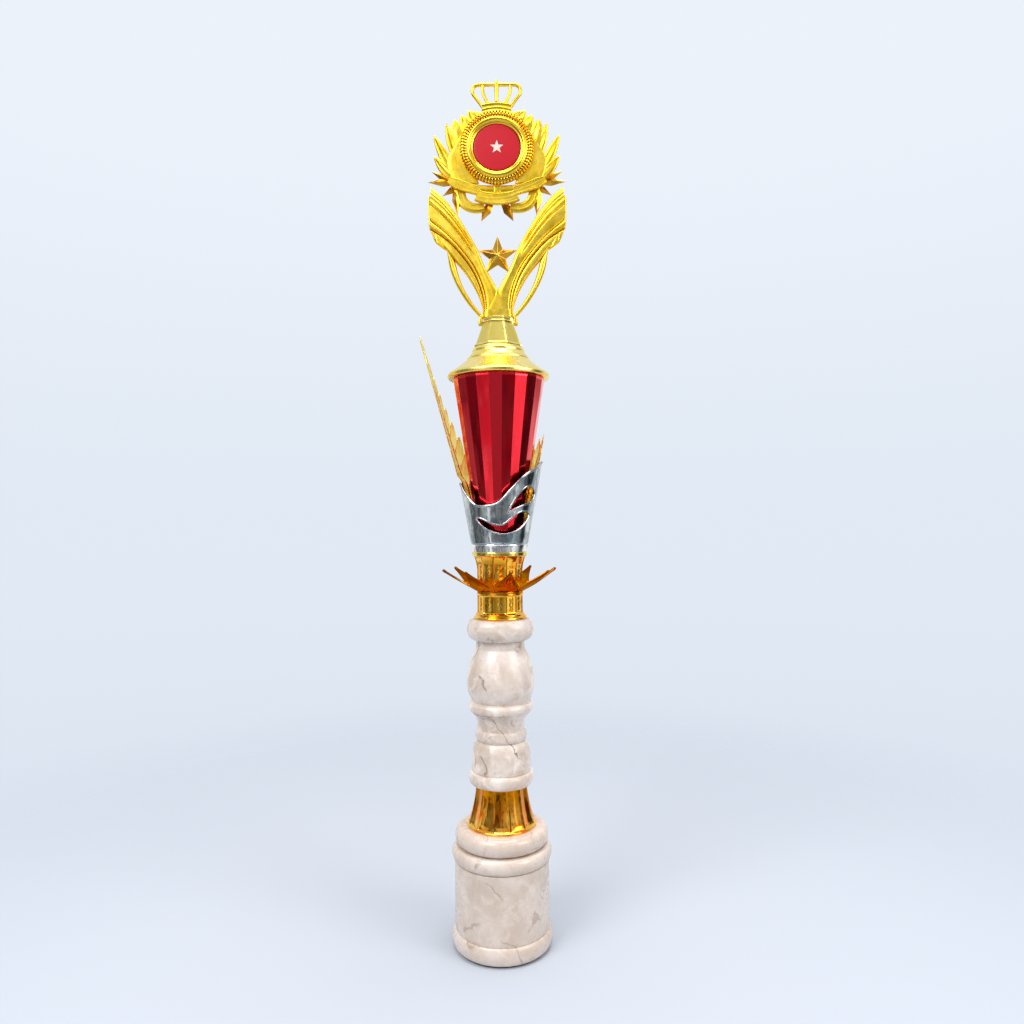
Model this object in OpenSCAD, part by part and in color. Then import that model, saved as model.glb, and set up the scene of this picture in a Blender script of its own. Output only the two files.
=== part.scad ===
// Column trophy: a turned stone base and column, plated plastic collars, a faceted cup in a
// chromed sleeve with two laurel sprays, and an award figure that turns on top of the cup's lid.
// Millimetres. The origin is the middle of the felt pad's underside, +Z is up, -Y is the front.

/* [Stone] */
// Radius of the base's drum
base_drum_r = 36.5; // [35:0.5:38]
// Height of the base's flat top above the ground
base_top_z = 92; // [88:1:98]
// Height of the bell spacer
bell_h = 32; // [28:1:34]
// Height of the turned column
column_h = 127; // [124:1:134]

/* [Collars] */
// Height of the collar under the petal ring
lower_collar_h = 20; // [18:1:26]
// Height of the collar over the petal ring
upper_collar_h = 30.5; // [26:0.5:36]
// Flat sides of each collar and of the bell spacer
collar_sides = 12; // [8:1:12]
// Number of petals
petal_count = 8; // [6:1:9]
// Radius that the petals' tips reach
petal_tip_r = 45; // [38:1:52]
// Angle at which the petals rise
petal_rise = 29; // [20:1:35]
// Angle from the front to the middle of the first petal
petal_turn = 11; // [0:1:22]

/* [Cup] */
// Height of the cup
cup_h = 131.5; // [128:0.5:136]
// Corner radius of the cup at its rim
cup_top_r = 35.8; // [35:0.1:37]
// Corner radius of the cup at its floor
cup_floor_r = 15.3; // [14:0.1:17]
// Number of flat facets round the cup
cup_facets = 22; // [16:1:30]
// Angle from the front to the nearest corner between facets
cup_turn = 5.2; // [0:0.2:8]
// Wall of the cup
cup_wall = 1.6; // [1.2:0.1:2]
// Outer radius of the sleeve at its foot
sleeve_foot_r = 21.2; // [20.6:0.1:22]
// How much wider the sleeve gets for each millimetre of height
sleeve_slope = 0.185; // [0.17:0.005:0.2]
// Wall of the sleeve
sleeve_wall = 1.2; // [1:0.1:1.4]

/* [Figure] */
// Thickness of the winged frame
wing_t = 9; // [7:0.5:11]
// Outer radius of the star
star_r = 16; // [15.4:0.1:16.4]
// Outer radius of the medal's bezel
bezel_r = 28.9; // [27.5:0.1:29.5]
// Radius of the round insert in the medal
insert_r = 18.4; // [16:0.1:19]

/* [Fasteners] */
// Diameter of the threaded rod through the stone
rod_d = 8; // [6:0.5:8]
// Diameter of the stud under the figure
stud_d = 6; // [5:0.5:6]
// Radial play of the stud in the neck and the lid
stud_play = 0.05; // [0.02:0.01:0.1]

/* [Hidden] */
$fn = 96;
felt_h = 1.5;
felt_r = 35.5;
rod_hole_r = rod_d / 2 + 0.6;
nut_gap = 0.05;                  // radial room between a nut and its thread
lift_gap = 0.3;                  // room between pieces that move against each other
bell_z = base_top_z;
column_z = bell_z + bell_h;
lower_collar_z = column_z + column_h;
petal_z = lower_collar_z + lower_collar_h;
petal_t = 1.5;
upper_collar_z = petal_z + petal_t;
sleeve_z = upper_collar_z + upper_collar_h;
sleeve_floor_t = 2;
cup_z = sleeve_z + sleeve_floor_t;
cup_floor_t = 2;
cup_top_z = cup_z + cup_h;
lid_z = cup_top_z + lift_gap;
lid_h = 24.2;
neck_z = lid_z + lid_h;
neck_h = 23;
figure_z = neck_z + neck_h + lift_gap;
medal_z = 132.6;                 // the medal's centre above the figure's foot
counterbore_r = 11;
counterbore_top = 15.5;
washer_t = 1.6;
nut_h = 6.5;

// Top edge of the sleeve above its foot, every 20 degrees from the front round by the right
sleeve_wave = [37.5, 48, 58, 63, 68.3, 67, 57, 45, 37, 34.8, 36, 41, 47.5, 52.5, 51.5, 43, 35.5, 34.9];

// A half-round bead between heights z0 and z1 that swells out to radius r
function bead(r, z0, z1, swell) = [for (a = [-90:18:90])
    [r - swell + swell * cos(a), (z0 + z1) / 2 + (z1 - z0) / 2 * sin(a)]];

// A cubic curve from a to d, pulled towards b and c
function curve(a, b, c, d, steps = 10) = [for (i = [0:steps]) let (t = i / steps)
    pow(1 - t, 3) * a + 3 * pow(1 - t, 2) * t * b + 3 * (1 - t) * t * t * c + pow(t, 3) * d];

// Unit normal of a path at point i
function normal_at(p, i) = let (a = p[max(i - 1, 0)], b = p[min(i + 1, len(p) - 1)], d = b - a)
    [-d[1], d[0]] / norm(d);

// Outline of a band of the given width along a path
function band(p, w) = concat([for (i = [0:len(p) - 1]) p[i] + normal_at(p, i) * w / 2],
    [for (i = [len(p) - 1:-1:0]) p[i] - normal_at(p, i) * w / 2]);

// Smooth value between four evenly spaced values, at t from 0 to 1 between the middle two
function smooth4(a, b, c, d, t) = 0.5 * (2 * b + (c - a) * t + (2 * a - 5 * b + 4 * c - d) * t * t
    + (3 * b - a - 3 * c + d) * t * t * t);

// Height of the sleeve's wavy edge above its foot at an angle from the front
function wave_at(angle) = let (n = len(sleeve_wave), s = ((angle % 360) + 360) % 360 * n / 360,
    i = floor(s)) smooth4(sleeve_wave[(i + n - 1) % n], sleeve_wave[i % n],
    sleeve_wave[(i + 1) % n], sleeve_wave[(i + 2) % n], s - i);

function sleeve_r(h) = sleeve_foot_r + sleeve_slope * h;
function cup_r(h) = cup_floor_r + (cup_top_r - cup_floor_r) * h / cup_h;

// A point of the sleeve seen from the front: across at an angle, and up at height h
function seen(angle, h) = [sleeve_r(h) * sin(angle), h];

module turned(profile) {
    rotate_extrude() polygon(profile);
}

// A turned shape with flat sides, one of them facing the front
module panelled(profile, sides) {
    rotate([0, 0, 90 - 180 / sides]) rotate_extrude($fn = sides) polygon(profile);
}

// Puts a flat outline upright: x stays, y becomes z, with its back face at y = back
module upright(back, thickness) {
    translate([0, back, 0]) rotate([90, 0, 0]) linear_extrude(thickness) children();
}

module both_sides() {
    children();
    mirror([1, 0, 0]) children();
}

// A pointed leaf outline from root to tip
module leaf(root, tip, width) {
    run = tip - root;
    len_leaf = norm(run);
    arc_r = (len_leaf * len_leaf + width * width) / (4 * width);
    translate(root) rotate(atan2(run[1], run[0])) intersection() {
        translate([len_leaf / 2, arc_r - width / 2]) circle(arc_r);
        translate([len_leaf / 2, width / 2 - arc_r]) circle(arc_r);
    }
}

// Flat-sided cone frustum with a corner at the given angle from the front
module frustum(r0, r1, h, sides, turn) {
    ring = [for (i = [0:sides - 1]) turn - 90 + 360 * i / sides];
    points = concat([for (a = ring) [r0 * cos(a), r0 * sin(a), 0]],
        [for (a = ring) [r1 * cos(a), r1 * sin(a), h]]);
    walls = [for (i = [0:sides - 1]) let (j = (i + 1) % sides) [i, i + sides, j + sides, j]];
    polyhedron(points, concat(walls, [[for (i = [0:sides - 1]) i]],
        [[for (i = [sides - 1:-1:0]) i + sides]]));
}

module hex_nut(across, h, bore_r) {
    difference() {
        cylinder(h = h, r = across / 2 / cos(30), $fn = 6);
        translate([0, 0, -1]) cylinder(h = h + 2, r = bore_r);
    }
}

module washer(r, h, bore_r) {
    difference() {
        cylinder(h = h, r = r);
        translate([0, 0, -1]) cylinder(h = h + 2, r = bore_r);
    }
}

module rod_hole(z0, z1) {
    translate([0, 0, z0 - 1]) cylinder(h = z1 - z0 + 2, r = rod_hole_r);
}

module felt_pad() {
    color("darkslategray") cylinder(h = felt_h, r = felt_r);
}

module marble_base() {
    foot_top = 14.5;
    band_low = base_top_z - 26;
    band_high = base_top_z - 14;
    color("antiquewhite") difference() {
        turned(concat([[0, felt_h]], bead(base_drum_r + 2.1, felt_h, foot_top, 2.6),
            [[base_drum_r, foot_top + 0.6], [base_drum_r, band_low]],
            bead(base_drum_r + 2, band_low + 0.5, band_high, 3.6),
            bead(base_drum_r - 0.5, band_high, base_top_z, 5.5), [[0, base_top_z]]));
        rod_hole(0, base_top_z);
        translate([0, 0, -1]) cylinder(h = counterbore_top + 1, r = counterbore_r);
    }
}

module rod_nut_lower() {
    color("silver") translate([0, 0, counterbore_top - washer_t - nut_h])
        hex_nut(13, nut_h, rod_d / 2 + nut_gap);
}

module rod_washer_lower() {
    color("silver") translate([0, 0, counterbore_top - washer_t])
        washer(9, washer_t, rod_d / 2 + nut_gap);
}

module tie_rod() {
    rod_low = 4;
    rod_high = cup_z + cup_floor_t + washer_t + nut_h + 3;
    color("silver") translate([0, 0, rod_low]) cylinder(h = rod_high - rod_low, r = rod_d / 2);
}

module bell_spacer() {
    foot = bell_z;
    top = bell_z + bell_h;
    outer = concat([[27.1, foot], [27.1, foot + 1.6], [25.6, foot + 2.2]],
        curve([25.4, foot + 2.4], [22.9, foot + 10], [20.4, top - 12], [19.6, top]));
    inner = concat([[0, top - 2.4]],
        curve([17.4, top - 2.4], [18.2, top - 12], [20.6, foot + 8], [23.4, foot], 5), [[0, foot]]);
    color("orange") difference() {
        panelled(concat([[0, foot]], outer, [[0, top]]), collar_sides);
        turned([for (p = inner) [p[0], p[1] == foot ? foot - 1 : p[1]]]);
        rod_hole(foot, top);
    }
}

module marble_column() {
    z = column_z;
    top = column_z + column_h;
    color("antiquewhite") difference() {
        turned(concat([[0, z]], bead(25.2, z, z + 10, 2.6),
            curve([23, z + 10.6], [22.9, z + 17], [22.8, z + 29], [19.2, z + 33], 8),
            bead(19.9, z + 33.5, z + 42, 1.6),
            curve([18.3, z + 42.5], [18, z + 48], [19.6, z + 52.5], [23, z + 55], 6),
            bead(25, z + 55.5, z + 63, 2.4),
            curve([21.8, z + 63.5], [27.8, z + 71], [28.4, z + 87], [19, z + 104], 14),
            [[18.9, top - 16.5]], bead(26, top - 16, top, 5), [[0, top]]));
        rod_hole(z, top);
    }
}

// A plated collar: flange, waist and rim in flat panels, hollow from below
module collar(z, h, flange_r, waist_r, rim_r, flange_low) {
    top = z + h;
    low_r = flange_low ? flange_r : waist_r;
    outer = flange_low
        ? [[low_r, z], [low_r, z + 2], [low_r - 1, z + 4], [waist_r, z + 5.2],
            [waist_r, top - 1.6], [rim_r, top - 1.2], [rim_r, top]]
        : concat([[low_r, z]], curve([waist_r, z + h * 0.5], [waist_r + 0.2, z + h * 0.68],
            [rim_r - 2.4, z + h * 0.85], [rim_r - 1.4, top - 3.4], 6),
            [[rim_r, top - 3], [rim_r, top - 0.4], [rim_r - 0.4, top]]);
    difference() {
        panelled(concat([[0, z]], outer, [[0, top]]), collar_sides);
        translate([0, 0, z - 1]) cylinder(h = h - 1.2, r = waist_r - 2.6);
        rod_hole(z, top);
    }
}

module lower_collar() {
    color("orange") collar(lower_collar_z, lower_collar_h, 21, 17.7, 18.3, true);
}

module upper_collar() {
    color("orange") collar(upper_collar_z, upper_collar_h, 17.7, 17.7, 21.9, false);
}

module petal_ring() {
    hub_r = 17.6;
    root_r = 15.6;
    reach = (petal_tip_r - root_r) / cos(petal_rise);
    pitch = tan(180 / petal_count);
    side = concat([[0, -root_r * pitch],
            [reach * 0.3, -(root_r + reach * 0.3 * cos(petal_rise)) * pitch + 0.5]],
        curve([reach * 0.4, -9.6], [reach * 0.55, -6.4], [reach * 0.75, -3.4], [reach, -0.8], 6));
    petal = concat(side, [for (i = [len(side) - 1:-1:0]) [side[i][0], -side[i][1]]]);
    color("darkorange") difference() {
        union() {
            translate([0, 0, petal_z]) cylinder(h = petal_t, r = hub_r);
            intersection() {
                for (i = [0:petal_count - 1])
                    rotate([0, 0, petal_turn - 90 + 360 * i / petal_count])
                        translate([root_r, 0, petal_z]) rotate([0, -petal_rise, 0])
                            linear_extrude(petal_t) polygon(petal);
                difference() {
                    translate([0, 0, petal_z]) cylinder(h = 60, r = petal_tip_r + 2);
                    translate([0, 0, petal_z + petal_t]) cylinder(h = 60, r = hub_r + 0.9);
                }
            }
        }
        rod_hole(petal_z, petal_z + petal_t);
    }
}

// Opening through the sleeve's wall between a top and a bottom edge given as [angle, height]
module sleeve_opening(top_edge, bottom_edge) {
    upright(0, 60) polygon(concat([for (p = top_edge) seen(p[0], p[1])],
        [for (i = [len(bottom_edge) - 1:-1:0]) seen(bottom_edge[i][0], bottom_edge[i][1])]));
}

// The leaf-shaped opening
module leaf_opening() {
    sleeve_opening(concat(curve([13.5, 29], [24, 40], [38, 51], [52, 50]), [[63, 47.5], [71, 44]]),
        concat(curve([13.5, 29], [24, 32], [40, 36], [56, 36.5]), [[66, 39.5]]));
}

// The crescent under it
module crescent_opening() {
    sleeve_opening(concat(curve([-43, 25.5], [-34, 28.5], [-18, 21], [0, 20.5]),
            curve([6, 20.8], [20, 24], [30, 31.5], [46, 31]), [[55, 30.5], [62, 28.5]]),
        concat(curve([-43, 25.5], [-30, 16], [-4, 13.6], [10, 13.6]),
            curve([14, 13.6], [32, 14.5], [50, 19], [61, 27])));
}

module cup_sleeve() {
    step = 5;
    angles = [for (a = [0:step:359]) a];
    n = len(angles);
    cone_h = 70;
    cutter_h = 90;
    inner = 12;
    outer = 50;
    // ring that lies above the wavy edge and is wider than the wall on both sides
    cutter = concat(
        [for (a = angles) [inner * sin(a), -inner * cos(a), wave_at(a)]],
        [for (a = angles) [outer * sin(a), -outer * cos(a), wave_at(a)]],
        [for (a = angles) [outer * sin(a), -outer * cos(a), cutter_h]],
        [for (a = angles) [inner * sin(a), -inner * cos(a), cutter_h]]);
    color("gainsboro") translate([0, 0, sleeve_z]) difference() {
        turned([[0, 0], [sleeve_r(0), 0], [sleeve_r(cone_h), cone_h],
            [sleeve_r(cone_h) - sleeve_wall, cone_h],
            [sleeve_r(sleeve_floor_t) - sleeve_wall, sleeve_floor_t], [0, sleeve_floor_t]]);
        polyhedron(cutter, [for (k = [0:3], i = [0:n - 1])
            let (j = (i + 1) % n, m = (k + 1) % 4) [k * n + j, k * n + i, m * n + i, m * n + j]]);
        leaf_opening();
        crescent_opening();
        rotate([0, 0, 180]) crescent_opening();
        rod_hole(0, sleeve_floor_t);
    }
}

// A laurel spray: leaves cut from a conical shell. The profile lists [radius, height] of its outer
// face, and the outline is drawn as it looks from outside
module laurel(profile, side) {
    t = 1.4;
    intersection() {
        turned(concat(profile, [for (i = [len(profile) - 1:-1:0]) profile[i] - [t, 0]]));
        rotate([0, 0, side * 90]) children();
    }
}

// Cutters for a laurel's stem and leaves, drawn from the side
module stem_cutter(path) {
    upright(0, 90) polygon(band(path, 4.4));
}

module leaf_cutter(root, tip, width) {
    upright(0, 90) leaf(root, tip, width);
}

module laurel_left() {
    z0 = sleeve_z + sleeve_floor_t + 0.6;
    out_z = sleeve_z + 54;
    tip_z = sleeve_z + 168;
    lean = 0.266;
    shell = [[sleeve_r(3) - sleeve_wall - 0.2, z0], [sleeve_r(54) - sleeve_wall - 0.2, out_z],
        [33.2, out_z + 5], [33.2 + lean * (tip_z - out_z - 5), tip_z]];
    stem = curve([-13, z0], [-15, z0 + 60], [-6, z0 + 100], [-0.4, tip_z - 8], 12);
    color("gold") laurel(shell, -1) {
        stem_cutter(stem);
        leaf_cutter(stem[10], [1, tip_z - 0.5], 6);
        for (i = [3:10]) {
            leaf_cutter(stem[i] - [0, 3], [2, stem[i][1] + 27 - i], 7.5);
            leaf_cutter(stem[i] - [0, 3], stem[i] + [-24 + 2 * i, 27 - i], 9.6 - 0.4 * i);
        }
    }
}

module laurel_right() {
    z0 = sleeve_z + sleeve_floor_t + 0.6;
    tip_z = sleeve_z + 91;
    shell = [[19.2, z0], [19.2 + 0.21 * (tip_z - z0) - 1.6, tip_z]];
    stem = curve([14, z0], [15, z0 + 30], [13, z0 + 54], [5, tip_z - 8], 8);
    color("gold") laurel(shell, 1) {
        stem_cutter(stem);
        leaf_cutter(stem[6], [1, tip_z - 0.5], 7);
        for (i = [2:6]) {
            leaf_cutter(stem[i] - [0, 3], [-1, stem[i][1] + 22 - i], 7.5);
            leaf_cutter(stem[i] - [0, 3], stem[i] + [16 - i, 22 - i], 9);
        }
    }
}

module cup() {
    color("crimson") translate([0, 0, cup_z]) difference() {
        frustum(cup_floor_r, cup_top_r, cup_h, cup_facets, cup_turn);
        translate([0, 0, cup_floor_t]) frustum(cup_r(cup_floor_t) - cup_wall,
            cup_r(cup_h + 1) - cup_wall, cup_h - cup_floor_t + 1, cup_facets, cup_turn);
        rod_hole(0, cup_floor_t);
    }
}

module rod_washer_upper() {
    color("silver") translate([0, 0, cup_z + cup_floor_t]) washer(9, washer_t, rod_d / 2 + nut_gap);
}

module rod_nut_upper() {
    color("silver") translate([0, 0, cup_z + cup_floor_t + washer_t])
        hex_nut(13, nut_h, rod_d / 2 + nut_gap);
}

module lid() {
    plug_z = -6.5;
    plug_r = (cup_r(cup_h + lift_gap + plug_z) - cup_wall) * cos(180 / cup_facets) - 0.5;
    outer = concat([[plug_r, plug_z], [plug_r, 0], [38.8, 0], [39.6, 0.7], [39.6, 3], [38.9, 3.9]],
        curve([37.4, 4.4], [31, 9], [27.8, 11.6], [24.6, 14.4], 6),
        [[24.6, 15.6], [23.2, 16.6]], curve([23, 17.2], [22, 19], [20.9, 19.6], [20.6, 20.6], 3),
        [[20.6, 22], [19.6, 22.8], [19.2, lid_h], [0, lid_h]]);
    inner = concat([[0, lid_h - 2.4], [17.4, lid_h - 2.4], [18.6, 19]],
        curve([20.6, 16], [23, 12.6], [28, 9], [plug_r - 2, 4], 5),
        [[plug_r - 2, plug_z - 1], [0, plug_z - 1]]);
    color("palegoldenrod") translate([0, 0, lid_z]) difference() {
        turned(concat([[0, plug_z]], outer));
        turned(inner);
        cylinder(h = lid_h + 1, r = stud_d / 2 + stud_play);
    }
}

module neck() {
    flare = 1 / cos(22.5);
    outer = concat([[17.9, 0], [17.9, 1.4]],
        curve([17, 2], [15.4, 7], [13.2, 13], [11.4, neck_h - 4.6], 8),
        [[10.9, neck_h - 4], [10.9, neck_h]]);
    inner = concat([[0, -1], [15.2, -1]], curve([15, 0.4], [13.4, 7], [11.4, 12], [9.4, neck_h - 6], 5),
        [[9, neck_h - 2.4], [0, neck_h - 2.4]]);
    color("palegoldenrod") translate([0, 0, neck_z]) difference() {
        panelled([for (p = concat([[0, 0]], outer, [[0, neck_h]])) [p[0] * flare, p[1]]], 8);
        turned(inner);
        cylinder(h = neck_h + 1, r = stud_d / 2 + stud_play);
    }
}

module stud() {
    low = neck_z - 13;
    color("silver") translate([0, 0, low]) cylinder(h = figure_z + 15 - low, r = stud_d / 2);
}

module stud_washer() {
    color("silver") translate([0, 0, neck_z - 2.4 - lift_gap - washer_t])
        washer(8, washer_t, stud_d / 2 + nut_gap);
}

module stud_nut() {
    color("silver") translate([0, 0, neck_z - 2.4 - lift_gap - washer_t - 5])
        hex_nut(10, 5, stud_d / 2 + nut_gap);
}

// Half of the winged frame, from the foot up to the wing's tip, with its window cut out
module wing_half() {
    difference() {
        polygon(concat([[0, 0], [11.9, 0], [12.6, 0.4]],
            curve([13.4, 0.8], [24, 12], [37.5, 32], [39.9, 53.9]),
            [[49.2, 60.6], [49.2, 67.1], [52.6, 69.8], [53.6, 95.4], [50.8, 102.7]],
            curve([50, 101.6], [32, 86], [13, 52], [0, 21])));
        polygon(concat(curve([32.6, 45.2], [30, 28], [20, 13], [12.8, 3.6]),
            curve([11.9, 4.2], [12.5, 20], [24, 36], [32.2, 45.2])));
    }
}

module wing_frame() {
    color("gold") translate([0, 0, figure_z]) difference() {
        union() {
            upright(wing_t / 2, wing_t) both_sides() wing_half();
            upright(6.5, 13) translate([-10.6, 0]) square([21.2, 6]);
            both_sides() translate([12.3, -4, -4.8]) cube([3, 8, 5.6]);
        }
        translate([0, 0, -6]) cylinder(h = 21, r = stud_d / 2 + nut_gap);
    }
}

// Five-pointed star with ridges, as a pair of flat pyramids
module star() {
    inner_r = star_r * 0.42;
    ridge = 4.6;
    centre = figure_z + 48.7;
    rim = [for (i = [0:9]) let (a = 90 + 36 * i, r = i % 2 == 0 ? star_r : inner_r)
        [r * cos(a), 0, centre + r * sin(a)]];
    color("darkgoldenrod") polyhedron(concat(rim, [[0, -ridge, centre], [0, ridge, centre]]),
        [for (i = [0:9], f = [0, 1]) let (j = (i + 1) % 10) f == 0 ? [j, i, 10] : [i, j, 11]]);
}

// Laurel wreath: a plate behind the medal with leaves fanning out on both sides, each [root, tip, width]
module wreath() {
    leaves = [[[16, 20], [18.3, 31.4], 9], [[24, 2], [25.5, 29], 13], [[28, -4], [33.6, 22.5], 10],
        [[32, -4], [39.2, 20], 5.4], [[31, -27], [32, 4], 17], [[33, -20], [49.3, 10.6], 9],
        [[34, -23], [49.6, -4], 7], [[33, -24], [52, -15.6], 6], [[30, -26], [54.6, -25], 7],
        [[30, -25], [42.8, -35.8], 6], [[34, -26], [33.6, -53.5], 7.4], [[5, -38], [12.6, -56.6], 6.6]];
    back = 2;
    t = 3.6;
    color("goldenrod") translate([0, 0, figure_z + medal_z]) {
        upright(back, t) difference() {
            circle(bezel_r - 1.4);
            circle(insert_r - 4);
        }
        both_sides() {
            for (l = leaves) upright(back, t) leaf(l[0], l[1], l[2]);
            upright(back, t) polygon(band(curve([-1, -31], [14, -31], [28, -30], [38, -24], 8), 5.6));
            upright(back, t) polygon(band(curve([35, -26], [31, -45], [22, -48], [4, -46.4], 8), 7));
        }
        upright(back, t) translate([-3, -33]) square([6, 8]);
    }
}

module medal_bezel() {
    color("gold") translate([0, -1.6, figure_z + medal_z]) rotate([90, 0, 0]) turned([[0, 0],
        [bezel_r, 0], [bezel_r, 2.6], [27.3, 4.4], [25.6, 4.6], [25, 3.8], [24, 3.8], [22, 5],
        [19.9, 4.2], [insert_r + 0.2, 2.6], [insert_r + 0.2, 1.6], [0, 1.6]]);
}

module medal_insert() {
    color("red") translate([0, -3.2, figure_z + medal_z]) rotate([90, 0, 0])
        cylinder(h = 1, r = insert_r);
}

// Ribbon in front of the wreath: two banners over a scroll
module ribbon() {
    color("gold") translate([0, 0, figure_z + medal_z]) {
        upright(-1.6, 2.6) difference() {
            both_sides() polygon(band(curve([38.4, -25.4], [31, -30.4], [22, -31.6], [13, -32.4]), 7));
            circle(bezel_r);
        }
        upright(-1.6, 3.6) both_sides()
            polygon(band(curve([0, -41], [7, -41], [12, -39.4], [16.8, -37.4], 6), 8));
    }
}

module crown() {
    arm_w = 2.1;
    color("gold") translate([0, 0, figure_z + medal_z]) {
        upright(3, 6) difference() {
            translate([-11.6, 27]) square([23.2, 9]);
            circle(bezel_r);
            translate([0, -19]) difference() {
                translate([-20, 40]) square([40, 40]);
                circle(55.2);
            }
        }
        upright(1.8, 3.6) {
            both_sides() {
                polygon(band(concat([[10.8, 32.6]],
                    curve([11.5, 33.8], [17, 40.6], [22.4, 50.4], [13, 50.9], 10),
                    [[0, 50.9]]), arm_w));
                polygon(band(curve([6, 34.6], [10, 42], [11.6, 46], [10.4, 50.6], 6), arm_w));
            }
            polygon([[-1, 34], [1, 34], [1.5, 52], [-1.5, 52]]);
            translate([0, 53.2]) circle(2);
        }
    }
}

felt_pad();
marble_base();
rod_nut_lower();
rod_washer_lower();
tie_rod();
bell_spacer();
marble_column();
lower_collar();
petal_ring();
upper_collar();
cup_sleeve();
laurel_left();
laurel_right();
cup();
rod_washer_upper();
rod_nut_upper();
lid();
neck();
stud();
stud_washer();
stud_nut();
wing_frame();
star();
wreath();
medal_bezel();
medal_insert();
ribbon();
crown();
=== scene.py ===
"""Column trophy: the visible surfaces and finishes, built round a fixed frame of plain parts.

Shapes are worked out in millimetres and made in metres. Angles run from the front (-Y) round by the
right (+X). Heights come from the frame's own boxes.
"""

from math import cos, pi, radians, tan

import bmesh
import bpy
import numpy as np
from bpy.props import FloatProperty, FloatVectorProperty, IntProperty, PointerProperty
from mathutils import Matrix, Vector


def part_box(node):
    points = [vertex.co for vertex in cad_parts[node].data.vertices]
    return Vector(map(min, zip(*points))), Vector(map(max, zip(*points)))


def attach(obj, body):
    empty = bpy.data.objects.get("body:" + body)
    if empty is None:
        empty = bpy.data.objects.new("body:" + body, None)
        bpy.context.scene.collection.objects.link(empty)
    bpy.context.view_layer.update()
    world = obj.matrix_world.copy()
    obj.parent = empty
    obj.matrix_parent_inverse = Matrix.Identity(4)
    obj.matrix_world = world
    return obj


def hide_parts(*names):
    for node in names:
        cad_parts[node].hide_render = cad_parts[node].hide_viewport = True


bl_info = {
    "name": "Column Trophy",
    "version": (1, 0, 0),
    "blender": (4, 5, 0),
    "location": "View3D > Sidebar > Trophy",
    "description": "Builds the stone, plated and enamelled surfaces of a column trophy",
    "category": "Add Mesh",
}

MM = 0.001
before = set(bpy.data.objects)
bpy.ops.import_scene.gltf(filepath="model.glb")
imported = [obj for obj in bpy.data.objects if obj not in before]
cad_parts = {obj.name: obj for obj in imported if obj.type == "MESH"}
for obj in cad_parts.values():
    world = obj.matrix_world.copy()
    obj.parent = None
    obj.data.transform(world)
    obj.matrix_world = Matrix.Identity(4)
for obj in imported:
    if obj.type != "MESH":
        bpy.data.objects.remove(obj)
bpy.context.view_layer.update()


# ---------------------------------------------------------------- settings

class TrophySizes(bpy.types.PropertyGroup):
    """Sizes of the trophy's pieces, in millimetres"""

    collar_sides: IntProperty(
        name="Collar sides", description="Flat panels round each collar and the bell",
        default=12, min=8)
    petal_count: IntProperty(
        name="Petals", description="Petals in the ring", default=8, min=6, max=10)
    petal_turn: FloatProperty(
        name="Petal turn", description="Degrees from the front to the first petal", default=11.0)
    cup_facets: IntProperty(
        name="Cup facets", description="Flat facets round the cup", default=22, min=12)
    cup_turn: FloatProperty(
        name="Cup turn", description="Degrees from the front to a corner between facets",
        default=5.2)
    cup_wall: FloatProperty(name="Cup wall", description="Thickness of the cup's wall", default=1.6)
    sleeve_wall: FloatProperty(
        name="Sleeve wall", description="Thickness of the sleeve's wall", default=1.2)
    bezel_teeth: IntProperty(
        name="Bezel teeth", description="Ribs round the medal's bezel", default=70, min=20)
    wing_depth: FloatProperty(
        name="Wing depth", description="Thickness of the wings from front to back", default=9.0)


def colour(name, description, *rgb):
    """A colour setting with its red, green and blue"""
    return FloatVectorProperty(
        name=name, description=description, subtype="COLOR", size=4, default=(*rgb, 1))


class TrophyFinishes(bpy.types.PropertyGroup):
    """Colours of the trophy's finishes"""

    stone: colour("Stone", "Pale ground of the polished stone", 0.78, 0.69, 0.625)
    stone_warm: colour("Warm stone", "Pinkish brown clouds in the stone", 0.57, 0.455, 0.37)
    vein: colour("Vein", "Brown veins and pits", 0.17, 0.09, 0.055)
    orange_gold: colour("Orange gold", "Plating of collars, bell and petals", 0.98, 0.60, 0.09)
    figure_gold: colour("Figure gold", "Plating of the wings, wreath and crown", 0.93, 0.67, 0.075)
    leaf_gold: colour("Leaf gold", "Plating of the laurel sprays", 0.98, 0.81, 0.23)
    pale_gold: colour("Pale gold", "Plating of the lid and neck", 0.96, 0.78, 0.22)
    bronze: colour("Bronze gold", "Darker plating of the star", 0.70, 0.43, 0.06)
    silver: colour("Silver", "Plating of the sleeve", 0.64, 0.69, 0.71)
    red: colour("Mirror red", "Metallic red of the cup", 0.95, 0.004, 0.028)
    enamel: colour("Enamel red", "Red of the medal's insert", 0.50, 0.0035, 0.015)
    felt: colour("Felt", "Felt under the stone", 0.018, 0.024, 0.022)


class TrophyStudio(bpy.types.PropertyGroup):
    """The camera and the light"""

    lens: FloatProperty(name="Lens", description="Focal length", default=27.07, unit="CAMERA")
    distance: FloatProperty(
        name="Distance", description="From the camera to the trophy's axis",
        default=0.600, unit="LENGTH")
    height: FloatProperty(
        name="Height", description="Camera's height over the floor", default=0.3287, unit="LENGTH")
    across: FloatProperty(
        name="Across", description="Camera's place to the right of the axis",
        default=0.0097, unit="LENGTH")
    tilt: FloatProperty(
        name="Tilt", description="How far the camera looks up",
        default=radians(0.446), subtype="ANGLE")
    roll: FloatProperty(
        name="Roll", description="How far the camera leans to the right", default=radians(0.43),
        subtype="ANGLE")
    light: FloatProperty(
        name="Light", description="Strength of the studio's soft light", default=1.0)


def sizes():
    """The sizes as set in the scene"""
    return bpy.context.scene.trophy_sizes


def colours():
    """The finishes' colours as set in the scene"""
    return bpy.context.scene.trophy_finishes


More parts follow.
